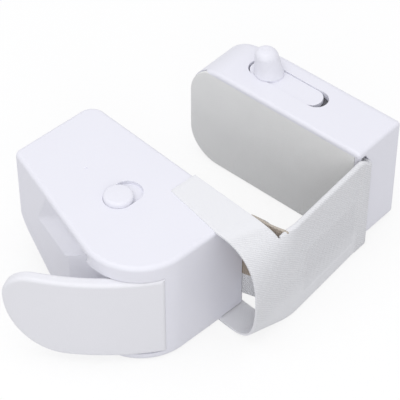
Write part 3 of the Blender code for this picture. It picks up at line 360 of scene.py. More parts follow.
def stadium(start, end, radius, steps=20):
    along = atan2(end[1] - start[1], end[0] - start[0])
    far = arc(end, radius, along - pi / 2, along + pi / 2, steps)
    return far + arc(start, radius, along + pi / 2, along + 3 * pi / 2, steps)


def close_rings(bm, rings):
    """Faces between each closed ring of points and the next."""
    for one, two in zip(rings, rings[1:]):
        for i in range(len(one)):
            j = (i + 1) % len(one)
            bm.faces.new((one[i], one[j], two[j], two[i]))


def join_lines(lines):
    """Faces between each open line of points and the next."""
    return [(one[k], one[k + 1], two[k + 1], two[k])
            for one, two in zip(lines, lines[1:]) for k in range(len(one) - 1)]


def prism(outline, low, high, axis="Z"):
    """An outline pushed along an axis: (x, y) along Z, (y, z) along X, (x, z) along Y."""
    order = {"Z": (0, 1, 2), "X": (2, 0, 1), "Y": (0, 2, 1)}[axis]
    bm = bmesh.new()
    rings = []
    for level in (low, high):
        points = [(*point, level) for point in outline]
        rings.append([bm.verts.new([p[k] for k in order]) for p in points])
        bm.faces.new(rings[-1])
    close_rings(bm, rings)
    return bm


def box(low, high):
    outline = [(low[0], low[1]), (high[0], low[1]), (high[0], high[1]), (low[0], high[1])]
    return prism(outline, low[2], high[2])


def cylinder(centre, radius, low, high, steps=40):
    return prism(arc(centre, radius, 0, 2 * pi, steps)[:-1], low, high)


def lathe(profile, centre, steps=56):
    """Turns (radius, height) points about an upright axis; the ends lie on the axis."""
    bm = bmesh.new()
    rings = []
    for radius, height in profile:
        ring = arc(centre, radius, 0, 2 * pi, steps if radius > 0 else 1)[:-1]
        rings.append([bm.verts.new((x, y, height)) for x, y in ring])
    for lower, upper in zip(rings, rings[1:]):
        for i in range(steps):
            j = (i + 1) % steps
            around = ((lower, i), (lower, j), (upper, j), (upper, i))
            corners = [ring[k % len(ring)] for ring, k in around]
            bm.faces.new(list(dict.fromkeys(corners)))
    return bm


def solid_of(name):
    """A copy of a CAD node's mesh, welded."""
    bm = bmesh.new()
    bm.from_mesh(frame["nodes"][name].data)
    bmesh.ops.remove_doubles(bm, verts=bm.verts, dist=WELD)
    return bm


def add_object(name, data):
    obj = bpy.data.objects.new(name, data)
    bpy.context.scene.collection.objects.link(obj)
    return obj


def shape(name, bm):
    bmesh.ops.recalc_face_normals(bm, faces=bm.faces)
    mesh = bpy.data.meshes.new(name)
    bm.to_mesh(mesh)
    bm.free()
    return add_object(name, mesh)


def modify(obj, kind, **settings):
    """Adds a modifier, which settle makes part of the mesh."""
    modifier = obj.modifiers.new(kind.lower(), kind)
    for name, value in settings.items():
        setattr(modifier, name, value)
    return modifier


def settle(obj):
    """Turns an object's modifiers into its plain mesh."""
    bpy.context.view_layer.update()
    seen = obj.evaluated_get(bpy.context.evaluated_depsgraph_get())
    mesh = bpy.data.meshes.new_from_object(seen)
    obj.modifiers.clear()
    old = obj.data
    obj.data = mesh
    bpy.data.meshes.remove(old)


def combine(obj, tool, operation):
    if not isinstance(tool, bpy.types.Object):
        tool = shape("tool", tool)
    modify(obj, "BOOLEAN", operation=operation, solver="EXACT", object=tool)
    settle(obj)
    bpy.data.objects.remove(tool, do_unlink=True)


def cut(obj, tool):
    combine(obj, tool, "DIFFERENCE")


def join(obj, tool):
    combine(obj, tool, "UNION")


def round_edges(obj, width, segments, angle=radians(40)):
    modify(obj, "BEVEL", width=width, segments=segments, limit_method="ANGLE", angle_limit=angle)
    settle(obj)


def round_weighed(obj, width, segments, weigh, clamp):
    """Rounds each edge by the share of width that weigh gives for it."""
    label = "bevel_weight_edge"
    bm = bmesh.new()
    bm.from_mesh(obj.data)
    weight = bm.edges.layers.float.new(label)
    for edge in bm.edges:
        if len(edge.link_faces) == 2:
            edge[weight] = weigh(edge)
    bm.to_mesh(obj.data)
    bm.free()
    modify(obj, "BEVEL", width=width, segments=segments, limit_method="WEIGHT",
           use_clamp_overlap=clamp)
    settle(obj)
    obj.data.attributes.remove(obj.data.attributes[label])


def round_fine(obj, chosen, angle=radians(38)):
    """Takes off the sharp edges whose two ends both pass the test chosen."""
    def weigh(edge):
        sharp = edge.calc_face_angle(0) >= angle
        return 1.0 if sharp and all(chosen(vert.co) for vert in edge.verts) else 0.0

    round_weighed(obj, FINE_EDGE, 2, weigh, False)


def shade(obj, angle):
    """Smooth shading, apart from edges sharper than angle."""
    obj.data.shade_smooth()
    obj.data.set_sharp_from_angle(angle=angle)


def smooth(obj):
    shade(obj, radians(32))
    modify(obj, "WEIGHTED_NORMAL", keep_sharp=True)
    settle(obj)


def finish(obj, material, slot, body, *nodes):
    obj.data.materials.clear()
    obj.data.materials.append(material)
    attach(obj, body)
    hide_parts(*nodes)


def to_jaw(obj):
    """Moves a mesh made along the jaw's own axes to its place."""
    for vert in obj.data.vertices:
        vert.co = in_jaw(*vert.co)
    return obj


# Finishes


class Value:
    """A node's output, which takes part in sums as a number does."""

    def __init__(self, tree, socket):
        self.tree = tree
        self.socket = socket

    def beside(self, label):
        """Another output of the same node."""
        return Value(self.tree, self.socket.node.outputs[label])

    def __add__(self, other):
        return calculate("ADD", self, other)

    def __sub__(self, other):
        return calculate("SUBTRACT", self, other)

    def __rsub__(self, other):
        return calculate("SUBTRACT", other, self)

    def __mul__(self, other):
        return calculate("MULTIPLY", self, other)

    def __truediv__(self, other):
        return calculate("DIVIDE", self, other)


def put(socket, value):
    """Sets an input, or links a Value to it."""
    if isinstance(value, Value):
        value.tree.links.new(value.socket, socket)
    else:
        socket.default_value = value


def feed(made, **inputs):
    """Sets or links a node's inputs by name."""
    for label, value in inputs.items():
        put(made.inputs[label.replace("_", " ")], value)


def node(tree, kind, output=0, settings=(), **inputs):
    """The output of a new node, with its own settings and its inputs."""
    made = tree.nodes.new(kind)
    for name, value in settings:
        setattr(made, name, value)
    feed(made, **inputs)
    return Value(tree, made.outputs[output])


def calculate(operation, *values):
    """A math node on Values and numbers."""
    tree = next(value.tree for value in values if isinstance(value, Value))
    result = node(tree, "ShaderNodeMath", settings=[("operation", operation)])
    for socket, value in zip(result.socket.node.inputs, values):
        put(socket, value)
    return result


def nodes_of(name, **plain):
    """A new material, its tree and its shader, with the shader's plain values."""
    material = bpy.data.materials.new(name)
    material.use_nodes = True
    shader = material.node_tree.nodes["Principled BSDF"]
    feed(shader, **plain)
    return material, material.node_tree, shader


def group(name, **inputs):
    """A node group that gives a height and a tone; an input without a number is a vector."""
    tree = bpy.data.node_groups.new(name, "ShaderNodeTree")
    for label, default in inputs.items():
        kind = "NodeSocketVector" if default is None else "NodeSocketFloat"
        socket = tree.interface.new_socket(label, in_out="INPUT", socket_type=kind)
        if default is not None:
            socket.default_value = default
    for label in ("Height", "Tone"):
        tree.interface.new_socket(label, in_out="OUTPUT", socket_type="NodeSocketFloat")
    start = tree.nodes.new("NodeGroupInput").outputs
    values = [Value(tree, start[label]) for label in inputs]
    return tree, values, tree.nodes.new("NodeGroupOutput")


def noise(vector, scale, detail=2.0, rough=0.5):
    return node(vector.tree, "ShaderNodeTexNoise", "Fac",
                Vector=vector, Scale=scale, Detail=detail, Roughness=rough)


def ramp(value, start, end):
    """0 up to start, 1 from end on, smooth between."""
    return node(value.tree, "ShaderNodeMapRange", "Result", [("interpolation_type", "SMOOTHSTEP")],
                Value=value, From_Min=start, From_Max=end)


def mix_colours(one, two, share):
    one, two = (colour if isinstance(colour, Value) else (*colour, 1) for colour in (one, two))
    return node(share.tree, "ShaderNodeMix", "Result", [("data_type", "RGBA")],
                A=one, B=two, Factor=share)


def tint(base, spread, mask):
    """Colour that moves by spread about base with a mask about zero."""
    low = [max(c - s / 2, 0) for c, s in zip(base, spread)]
    high = [min(c + s / 2, 1) for c, s in zip(base, spread)]
    return mix_colours(low, high, mask + 0.5)


def bump(height, distance):
    return node(height.tree, "ShaderNodeBump", "Normal",
                Strength=1.0, Distance=distance, Height=height)


def cloth_map(tree, name):
    """A flat map of the cloth, and its two values."""
    flat = node(tree, "ShaderNodeUVMap", settings=[("uv_map", name)])
    across = node(tree, "ShaderNodeSeparateXYZ", "X", Vector=flat)
    return flat, across, across.beside("Y")


def make_grain_group():
    """Fine moulded or foamed grain, and slow patches, both about zero."""
    tree, values, end = group("surface_grain", Vector=None, Grain=1500.0, Patch=60.0)
    place, grain, patch = values
    feed(end, Height=noise(place, grain, 3.0, 0.6) - 0.5, Tone=noise(place, patch) - 0.5)
    return tree


def make_weave_group():
    """Slanting ribs crossed by threads, from a flat cloth map in metres."""
    tree, values, end = group("slanting_weave", Map=None, Rib=0.0008, Thread=0.0004)
    flat, rib_pitch, thread_pitch = values
    x = node(tree, "ShaderNodeSeparateXYZ", "X", Vector=flat)
    y = x.beside("Y")
    wobble = noise(flat, 900.0) * 0.00025
    rib = calculate("SINE", (x - y + wobble) * (2 * pi) / rib_pitch)
    thread = calculate("SINE", (x + y) * (2 * pi) / thread_pitch)
    fuzz = noise(flat, 2600.0) - 0.5
    feed(end, Height=rib * 0.40 + thread * 0.06, Tone=rib * 0.5 + fuzz)
    return tree


GRAIN = make_grain_group()
WEAVE = make_weave_group()


def grainy(name, base, spread, rough, rough_spread, grain, depth, patch=60.0, **plain):
    """A moulded, foamed or plated finish, with patches of colour and gloss."""
    material, tree, shader = nodes_of(name, **plain)
    place = node(tree, "ShaderNodeTexCoord", "Object")
    height = node(tree, "ShaderNodeGroup", "Height", [("node_tree", GRAIN)],
                  Vector=place, Grain=grain, Patch=patch)
    tone = height.beside("Tone")
    feed(shader, Base_Color=tint(base, spread, tone), Roughness=tone * rough_spread + rough,
         Normal=bump(height, depth))
    return material


def woven(name, base, spread, rib, thread):
    """Cloth with slanting ribs that fade on the flap and low down; gives its parts to add to."""
    material, tree, shader = nodes_of(name, Roughness=0.85, Sheen_Weight=0.15, Sheen_Roughness=0.5)
    flat, _, down = cloth_map(tree, "cloth")
    _, _, level = cloth_map(tree, "panel")
    height = node(tree, "ShaderNodeGroup", "Height", [("node_tree", WEAVE)],
                  Map=flat, Rib=rib, Thread=thread)
    plain = calculate("MAXIMUM", ramp(level, *PLAIN_LEVEL), ramp(down, *PLAIN_DOWN))
    strength = 1 - plain * 0.80
    colour = tint(base, spread, height.beside("Tone") * strength)
    colour = mix_colours(colour, [min(c * 1.03, 1) for c in base], plain * 0.9)
    return material, tree, shader, colour, height * strength


def make_cover_cloth():
    """Pale cloth with a plain pressed panel on the band."""
    material, tree, shader, colour, height = woven(
        "woven_cover", (0.77, 0.775, 0.80), (0.07, 0.07, 0.07), rib=0.0009, thread=0.00045)
    _, run, level = cloth_map(tree, "panel")
    (low_run, low), (high_run, high) = PANEL
    aside = calculate("ABSOLUTE", run - (low_run + high_run) / 2)
    above = calculate("ABSOLUTE", level - (low + high) / 2)
    inside = calculate("MINIMUM", (high_run - low_run) / 2 - aside, (high - low) / 2 - above)
    pressed = ramp(inside, -0.0002, 0.0010)
    line = ramp(inside, -0.0020, -0.0009) * (1 - ramp(inside, -0.0006, 0.0004))
    raised = line * 0.8 - pressed
    feed(shader, Base_Color=mix_colours(colour, (0.69, 0.695, 0.72), pressed * 0.40),
         Normal=bump(height + raised * 0.7, 0.00012))
    return material


def make_webbing_painted_at_fold():
    """Grey webbing; at the fold, painted light and shade: pale below as painted light, brown above
    as brown cloth darkened by painted shade, and a paler cut edge that is partly a painted
    highlight.
    """
    material, tree, shader, colour, height = woven(
        "liner_webbing", (0.50, 0.49, 0.475), (0.08, 0.08, 0.07), rib=0.0011, thread=0.0005)
    _, run, down = cloth_map(tree, "cloth")
    _, _, below_edge = cloth_map(tree, "panel")
    # painted light and shade, only at the fold, where the V and the loop's opening are
    painted_fold_share = ramp(run, -0.0030, -0.0020) * (1 - ramp(run, 0.0170, 0.0190))
    # brown of the upper part, darker than the webbing as painted shade in the V; its top edge
    # paler, partly a painted highlight
    brown_and_painted_shade = mix_colours((0.50, 0.45, 0.39), (0.40, 0.335, 0.27), ramp(below_edge, 0.0001, 0.0004))
    # pale below: painted light on the liner where it is seen through the loop
    fold = mix_colours(brown_and_painted_shade, (0.74, 0.745, 0.76), ramp(down, 0.0255, 0.0260))
    feed(shader, Base_Color=mix_colours(colour, fold, painted_fold_share), Normal=bump(height, 0.00018))
    return material


PLASTIC = grainy("satin_white_plastic", (0.80, 0.80, 0.865), (0.02, 0.02, 0.016),
                 rough=0.45, rough_spread=0.10, grain=2400.0, depth=0.00003)
LEVER_PLASTIC = grainy("lever_white_plastic", (0.80, 0.80, 0.84), (0.02, 0.02, 0.016),
                       rough=0.45, rough_spread=0.10, grain=2400.0, depth=0.00003)
# a darker copy of the white plastic: painted shade for the inner pieces seen through slots and
# openings
INNER_PLASTIC_PAINTED_SHADE = grainy("inner_plastic_painted_shade", (0.74, 0.74, 0.77), (0.03, 0.03, 0.03),
                       rough=0.50, rough_spread=0.10, grain=1800.0, depth=0.00004)
GREY_PLASTIC = grainy("grey_plastic", (0.16, 0.16, 0.17), (0.03, 0.03, 0.03),
                      rough=0.50, rough_spread=0.10, grain=1800.0, depth=0.00004)
FOAM = grainy("closed_cell_foam", (0.84, 0.845, 0.84), (0.04, 0.04, 0.04),
              rough=0.85, rough_spread=0.08, grain=2600.0, depth=0.00012, patch=90.0)
RUBBER = grainy("matt_rubber", (0.40, 0.41, 0.40), (0.05, 0.05, 0.05),
                rough=0.78, rough_spread=0.10, grain=1600.0, depth=0.00008, patch=90.0)
STEEL = grainy("plated_steel", (0.60, 0.60, 0.62), (0.06, 0.06, 0.06),
               rough=0.30, rough_spread=0.16, grain=900.0, depth=0.00001, patch=200.0, Metallic=1.0)
COVER = make_cover_cloth()
WEBBING_PAINTED_AT_FOLD = make_webbing_painted_at_fold()


# Body


def flare_x(y, inset):
    return (y * sin(FLARE) - CORNER_RADIUS + inset) / cos(FLARE)


def body_outline():
    flare_y = MOUTH_Y - FLARE_CORNER
    outline = [(FACE_X, END_Y)]
    outline += arc((FACE_X - FAR_CORNER, MOUTH_Y - FAR_CORNER), FAR_CORNER, 0, pi / 2, 12)
    outline += arc((flare_x(flare_y, FLARE_CORNER), flare_y), FLARE_CORNER, pi / 2, pi - FLARE, 8)
    return outline + arc((0, 0), CORNER_RADIUS, pi - FLARE, 3 * pi / 2, 56)


def room_outline(far_y):
    radius = CORNER_RADIUS - BODY_WALL
    meets = pi - FLARE - acos((CORNER_RADIUS - FLARE_WALL) / radius)
    side = FACE_X - INNER_WALL
    face = [(side, END_Y + BODY_WALL), (side, far_y), (flare_x(far_y, FLARE_WALL), far_y)]
    return face + arc((0, 0), radius, meets, 3 * pi / 2, 40)


def mouth_corner(inset):
    """What the underside's slope and its rounded end take away at the mouth."""
    centre_y = MOUTH_Y - MOUTH_ROUND
    centre_z = (centre_y - MOUTH_SLOPE_START) * tan(MOUTH_SLOPE) + MOUTH_ROUND / cos(MOUTH_SLOPE)
    curve = arc((centre_y, centre_z), MOUTH_ROUND - inset, MOUTH_SLOPE - pi / 2, 0, 24)
    below = inset - OVERRUN
    foot = MOUTH_SLOPE_START + (below - inset / cos(MOUTH_SLOPE)) / tan(MOUTH_SLOPE)
    outside = MOUTH_Y + OVERRUN
    return [(foot, below)] + curve + [(outside, centre_z), (outside, below)]


def hollow_body(body):
    """Cuts the sloped mouth, the room inside and the base plate's opening."""
    wide = FACE_X + CORNER_RADIUS
    cut(body, prism(mouth_corner(0), -wide, wide, "X"))
    room = shape("room", prism(room_outline(MOUTH_Y - BODY_WALL), BODY_WALL, TOP_UNDERSIDE))
    cut(room, prism(mouth_corner(BODY_WALL), -wide, wide, "X"))
    cut(body, room)
    cut(body, prism(room_outline(BASE_END), -OVERRUN, BODY_WALL + OVERRUN))


def lever_arc():
    """Centre of the paddle's outer curve, and its angles at the root and at the tip."""
    radius = CORNER_RADIUS + LEVER_PROUD
    root = Vector((radius * cos(LEVER_ROOT_ANGLE), radius * sin(LEVER_ROOT_ANGLE)))
    tip = Vector(LEVER_TIP)
    chord = tip - root
    inward = Vector((chord.y, -chord.x)).normalized()
    centre = (root + tip) / 2 + inward * sqrt(LEVER_CURVE_RADIUS ** 2 - (chord.length / 2) ** 2)
    start = atan2(root.y - centre.y, root.x - centre.x)
    end = atan2(tip.y - centre.y, tip.x - centre.x)
    return centre, start + 2 * pi if start < end else start, end


def lever_curve(inset):
    """The paddle's outer curve from its root to its tip, moved in by inset."""
    centre, start, end = lever_arc()
    return arc(centre, LEVER_CURVE_RADIUS - inset, start, end, 40)


def fit_lever(body):
    """Adds the screen behind the lever, and cuts its window and the recess that it closes into."""
    end = WINDOW_END_ANGLE + WINDOW_MARGIN
    screen = arc((0, 0), SCREEN_RADIUS + SCREEN_THICKNESS, SCREEN_START_ANGLE, end, 30)
    screen += arc((0, 0), SCREEN_RADIUS, end, SCREEN_START_ANGLE, 30)
    join(body, prism(screen, BASE_THICKNESS + GAP, WINDOW_TOP + GAP))
    reach = 3 * CORNER_RADIUS
    start = LEVER_ROOT_ANGLE + WINDOW_MARGIN
    window = [(0, 0), (reach * cos(WINDOW_END_ANGLE), reach * sin(WINDOW_END_ANGLE))]
    window += [(-reach, -reach), (reach * cos(start), reach * sin(start))]
    closed = lever_curve(LEVER_THICKNESS + LEVER_GAP) + lever_curve(-CORNER_RADIUS)[::-1]
    for opening in (window, turned(closed, -LEVER_CLOSE)):
        cut(body, prism(opening, BASE_LIP, WINDOW_TOP))


def soft_least(a, b):
    """The lesser of two depths, with the change between them rounded."""
    near = max(SCOOP_CREASE - abs(a - b), 0) / SCOOP_CREASE
    return min(a, b) - near * near * SCOOP_CREASE / 4


def rim_of(sheet):
    """The points round a sheet's edge, from its rows."""
    ahead = sheet[0][:-1] + [row[-1] for row in sheet[:-1]]
    return ahead + sheet[-1][:0:-1] + [row[0] for row in sheet[:0:-1]]


def scoop():
    """What the pocket under the rim takes away: deepest at the rim, fading out round the corner."""
    along = Vector((sin(FLARE), cos(FLARE), 0))
    front_level = -2 * OVERRUN
    bm = bmesh.new()
    floor, front = [], []
    for up in spaced(-SCOOP_MARGIN, 1, 20):
        height = SCOOP_LOW + (SCOOP_TOP - SCOOP_LOW) * up
        near, far = (low + (top - low) * up for low, top in zip(SCOOP_LOW_RUN, SCOOP_TOP_RUN))
        floor.append([])
        front.append([])
        for share in spaced(-SCOOP_MARGIN, 1 + SCOOP_MARGIN, 40):
            run = near + (far - near) * share
            depth = soft_least((run - near) * SCOOP_NEAR_RAMP, (far - run) * SCOOP_FAR_RAMP)
            depth = soft_least(depth, SCOOP_DEPTH * up)
            depth = soft_least(depth, SCOOP_NEAR_DEPTH + run * SCOOP_DEEPENING)
            angle = pi - FLARE + max(-run, 0) / CORNER_RADIUS
            out = Vector((cos(angle), sin(angle), 0))
            for sheet, level in ((floor, max(depth, GAP + front_level)), (front, front_level)):
                point = out * (CORNER_RADIUS - level) + along * max(run, 0)
                sheet[-1].append(bm.verts.new((point.x, point.y, height)))
    for corners in join_lines(floor) + join_lines(front):
        bm.faces.new(corners)
    close_rings(bm, [rim_of(floor), rim_of(front)])
    return bm


def fit_strap(body):
    """Cuts recesses under the strap's flaps, just inside the cloth's edge, and the liner's slot."""
    left, far = FACE_X - FLAP_WIDTH + 4 * GAP, END_Y + FLAP_LENGTH - 2 * GAP
    right, near = FACE_X + OVERRUN, END_Y - OVERRUN
    over = [(right, near), (right, far), (left + FLAP_TAPER, far), (left, END_Y), (left, near)]
    cut(body, prism(over, BODY_HEIGHT - 2 * GAP, BODY_HEIGHT + OVERRUN))
    cut(body, box((left + LOOP_SLANT, near, -OVERRUN), (right, far, FLAP_LOW_SEAT)))
    half = LINER_THICKNESS / 2 + GAP
    slot_low, slot_high = END_Y + LINER_SLOT - half, END_Y + LINER_SLOT + half
    low, high = LINER_LOW - GAP, LINER_HIGH + GAP
    cut(body, box((FACE_X - LINER_THICKNESS - GAP, near, low), (right, slot_high, high)))
    cut(body, box((FACE_X - INNER_WALL - OVERRUN, slot_low, low), (FACE_X, slot_high, high)))


def fit_button(body):
    """Cuts the button's recess and the slot for its stem."""
    end = (BUTTON[0] + BUTTON_TRAVEL, BUTTON[1])
    recess = stadium(BUTTON, end, BUTTON_RADIUS + GAP / 6)
    slot = stadium(BUTTON, end, STEM_RADIUS + SLIDE_GAP)
    cut(body, prism(recess, BODY_HEIGHT - BUTTON_RECESS, BODY_HEIGHT + OVERRUN))
    cut(body, prism(slot, TOP_UNDERSIDE - OVERRUN, BODY_HEIGHT))


def on_body_skin(point):
    """Whether a point lies on the body's outside, away from the lever and the pocket's thin end."""
    x, y, z = point
    if x < 0 and y < 0 and BASE_LIP - GAP < z < WINDOW_TOP + GAP:
        return False
    run = x * sin(FLARE) + y * cos(FLARE)
    if x < 0 and WINDOW_TOP < z < SCOOP_TOP + GAP and run < SCOOP_PLAIN_RUN:
        return False
    depths = [FACE_X - x, MOUTH_Y - y, BODY_HEIGHT - z, z]
    depths.append(x * cos(FLARE) - y * sin(FLARE) + CORNER_RADIUS)
    if x < 0 and y < 0:
        depths.append(CORNER_RADIUS - sqrt(x * x + y * y))
    else:
        depths.append(y - END_Y)
    return min(depths) < SKIN


def make_body():
    body = shape("body_casing", prism(body_outline(), 0, BODY_HEIGHT))
    round_edges(body, EDGE_ROUND, 5)
    hollow_body(body)
    fit_lever(body)
    cut(body, scoop())
    inside = FACE_X - INNER_WALL - OVERRUN
    cut(body, box((inside, *PLATE_WINDOW_LOW), (FACE_X + OVERRUN, *PLATE_WINDOW_HIGH)))
    fit_strap(body)
    mark_floor = BODY_HEIGHT - MARK_RADIUS
    cut(body, cylinder(MARK, MARK_RADIUS, mark_floor, BODY_HEIGHT + OVERRUN, steps=12))
    fit_button(body)
    boss_top = TOP_UNDERSIDE + TOP_WALL / 3
    for centre in BASE_SCREWS:
        join(body, cylinder(centre, BOSS_RADIUS, BASE_THICKNESS + GAP, boss_top))
    round_fine(body, on_body_skin)
    smooth(body)
    finish(body, PLASTIC, "white_plastic", "body", "body_shell")


def make_screw():
    """One cross-headed screw, its head down and at the origin."""
    profile = [(0, 0), (HEAD_RADIUS * HEAD_FACE, 0), (HEAD_RADIUS, HEAD_HEIGHT * HEAD_SLOPE),
               (HEAD_RADIUS, HEAD_HEIGHT), (SCREW_RADIUS, HEAD_HEIGHT),
               (SCREW_RADIUS, SCREW_LENGTH), (0, SCREW_LENGTH)]
    screw = shape("screw", lathe(profile, (0, 0), 32))
    reach, half, depth = HEAD_RADIUS * CROSS_REACH, CROSS_WIDTH / 2, HEAD_HEIGHT * CROSS_DEPTH
    corner = [(reach, -half), (reach, half), (half, half)]
    cross = [point for quarter in range(4) for point in turned(corner, quarter * pi / 2)]
    cut(screw, prism(cross, -depth, depth))
    smooth(screw)
    return screw


def scatter_tree(source):
    """Copies of an object at the points of a mesh, each turned further than the one before."""
    tree = bpy.data.node_groups.new("cross_head_screws", "GeometryNodeTree")
    tree.interface.new_socket("Places", in_out="INPUT", socket_type="NodeSocketGeometry")
    tree.interface.new_socket("Turn", in_out="INPUT", socket_type="NodeSocketFloat")
    tree.interface.new_socket("Screws", in_out="OUTPUT", socket_type="NodeSocketGeometry")
    places = node(tree, "NodeGroupInput", "Places")
    angle = node(tree, "GeometryNodeInputIndex") * places.beside("Turn")
    spread = node(tree, "GeometryNodeInstanceOnPoints", Points=places,
                  Instance=node(tree, "GeometryNodeObjectInfo", "Geometry", Object=source),
                  Rotation=node(tree, "ShaderNodeCombineXYZ", Z=angle))
    real = node(tree, "GeometryNodeRealizeInstances", Geometry=spread)
    dressed = node(tree, "GeometryNodeSetMaterial", Geometry=real, Material=STEEL)
    feed(tree.nodes.new("NodeGroupOutput"), Screws=dressed)
    return tree


def make_base_screws():
    screw = make_screw()
    bm = bmesh.new()
    for x, y in BASE_SCREWS:
        bm.verts.new((x, y, GAP))
    screws = shape("base_screws", bm)
    tree = scatter_tree(screw)
    scatter = modify(screws, "NODES", node_group=tree)
    scatter[tree.interface.items_tree["Turn"].identifier] = SCREW_TURN
    settle(screws)
    bpy.data.objects.remove(screw)
    finish(screws, STEEL, "steel", "body", "base_screw_1", "base_screw_2", "base_screw_3")


def make_button():
    floor = BODY_HEIGHT - BUTTON_RECESS + GAP
    top = BODY_HEIGHT + BUTTON_PROUD
    profile = [(0, STEM_LOW), (STEM_RADIUS, STEM_LOW), (STEM_RADIUS, floor),
               (BUTTON_RADIUS - BUTTON_CHAMFER, floor), (BUTTON_RADIUS, floor + BUTTON_CHAMFER)]
    profile += arc((BUTTON_RADIUS - BUTTON_ROUND, top - BUTTON_ROUND), BUTTON_ROUND, 0, pi / 2, 8)
    profile += [(BUTTON_RADIUS * share, top + rise) for share, rise in BUTTON_CROWN]
    button = shape("lock_button_cap", lathe(profile, BUTTON))
    smooth(button)
    finish(button, PLASTIC, "white_plastic", "lock", "lock_button")


# Lever


def inset_ring(outline, inset):
    """A convex outline moved in, corner by corner."""
    count = len(outline)
    ring = []
    for i in range(count):
        before, here, after = (Vector(outline[(i + k) % count]) for k in (-1, 0, 1))
        one = (here - before).normalized()
        two = (after - here).normalized()
        normal = (Vector((-one.y, one.x)) + Vector((-two.y, two.x))).normalized()
        reach = inset / max(normal.dot(Vector((-one.y, one.x))), MITRE)
        ring.append(here + normal * reach)
    return ring


def paddle():
    """The lever's curved paddle with its blunt tip, as rings from its front to its back."""
    centre, start, end = lever_arc()
    length = (start - end) * LEVER_CURVE_RADIUS

    def drop(run, tip):
        along, up = tip
        share = min(max((run - length + along) / along, 0), 1)
        return up * (1 - sqrt(1 - share * share))

    runs = spaced(PADDLE_START, length - TIP_LOW[0], 24)[:-1]
    runs += [length - TIP_LOW[0] * (1 - sin(a)) for a in spaced(0, pi / 2, 40)]
    outline = [(run, LEVER_LOW + drop(run, TIP_LOW)) for run in runs]
    outline += [(run, LEVER_TOP - drop(run, TIP_TOP)) for run in runs[::-1]]
    levels = [(LEVER_EDGE_ROUND * (1 - sin(a)), LEVER_EDGE_ROUND * (1 - cos(a)))
              for a in spaced(0, pi / 2, 6)]
    levels += [(inset, LEVER_THICKNESS - depth) for inset, depth in levels[::-1]]
    bm = bmesh.new()
    rings = []
    for inset, depth in levels:
        radius = LEVER_CURVE_RADIUS - depth
        ring = []
        for run, height in inset_ring(outline, inset):
            angle = start - run / LEVER_CURVE_RADIUS
            place = (centre.x + radius * cos(angle), centre.y + radius * sin(angle), height)
            ring.append(bm.verts.new(place))
        rings.append(ring)
    close_rings(bm, rings)
    half = len(runs)
    for ring in (rings[0], rings[-1]):
        for corners in join_lines([ring[:half], ring[:half - 1:-1]]):
            bm.faces.new(corners)
    return bm


def make_lever():
    """The paddle, with the hub, cam and skirt of the part's own lever behind it."""
    lever = shape("lever_paddle", paddle())
    inner = shape("inner", solid_of("lever"))
    combine(inner, cylinder((0, 0), LEVER_INNER_RADIUS, 0, BODY_HEIGHT, steps=64), "INTERSECT")
    join(lever, inner)
    smooth(lever)
    finish(lever, LEVER_PLASTIC, "white_plastic", "lever", "lever")


# Jaw


def jaw_outline(inset):
    front, back = JAW_FRONT + inset, JAW_BACK - inset
    low, high = inset, BODY_HEIGHT - inset
    near = max(JAW_FRONT_ROUND - inset, GAP)
    lower, upper = JAW_LOW_ROUND - inset, JAW_TOP_ROUND - inset
    first, last = JAW_FAR_SPAN
    steps = spaced(back - first, back - last, 6)
    outline = arc((front + near, low + near), near, pi, 3 * pi / 2, 8)
    outline += [(y, low) for y in steps]
    outline += arc((back - lower, low + lower), lower, -pi / 2, 0, 28)
    outline += arc((back - upper, high - upper), upper, 0, pi / 2, 28)
    return outline + [(y, high) for y in steps[::-1]] + [(front, high)]


def round_jaw(jaw):
    """Rounds the jaw casing's edges, the outer ones more and more towards its far end."""
    first, last = JAW_FAR_SPAN

    def weigh(edge):
        if edge.calc_face_angle(0) < radians(50):
            return 0.0
        one, two = (vert.co for vert in edge.verts)
        far = ease(((one.y + two.y) / 2 - JAW_BACK + first) / (first - last))
        outer = min(one.x, two.x) > JAW_THICKNESS - GAP
        return (JAW_EDGE_ROUND + (JAW_FAR_ROUND - JAW_EDGE_ROUND) * far * outer) / JAW_FAR_ROUND

    round_weighed(jaw, JAW_FAR_ROUND, 6, weigh, True)


def make_jaw():
    jaw = shape("jaw_casing", prism(jaw_outline(0), 0, JAW_THICKNESS, "X"))
    round_jaw(jaw)
    cut(jaw, prism(jaw_outline(JAW_WALL), -OVERRUN, JAW_THICKNESS - JAW_WALL, "X"))
    (near, far), (slope, slope_low) = OPENING, OPENING_SLOPE
    opening = [(near, -OVERRUN), (far, -OVERRUN), (far, slope_low), (far - slope, OPENING_TOP)]
    opening += [(near, OPENING_TOP)]
    cut(jaw, prism(opening, JAW_FRONT - OVERRUN, JAW_FRONT + JAW_WALL + GAP, "Y"))
    slot = stadium((SLOT_X, SLOT_Y[0]), (SLOT_X, SLOT_Y[1]), SLOT_RADIUS)
    cut(jaw, prism(slot, BODY_HEIGHT - JAW_WALL - OVERRUN, BODY_HEIGHT + OVERRUN))
    cut(jaw, box((-OVERRUN, JAW_FRONT + JAW_RIM_FRONT, -OVERRUN),
                 (JAW_PAD_THICKNESS + GAP, JAW_BACK + OVERRUN, BODY_HEIGHT - JAW_RIM_TOP)))
    round_fine(jaw, lambda point: point.y - JAW_FRONT < SKIN)
    smooth(to_jaw(jaw))
    finish(jaw, PLASTIC, "white_plastic", "jaw", "jaw_shell")


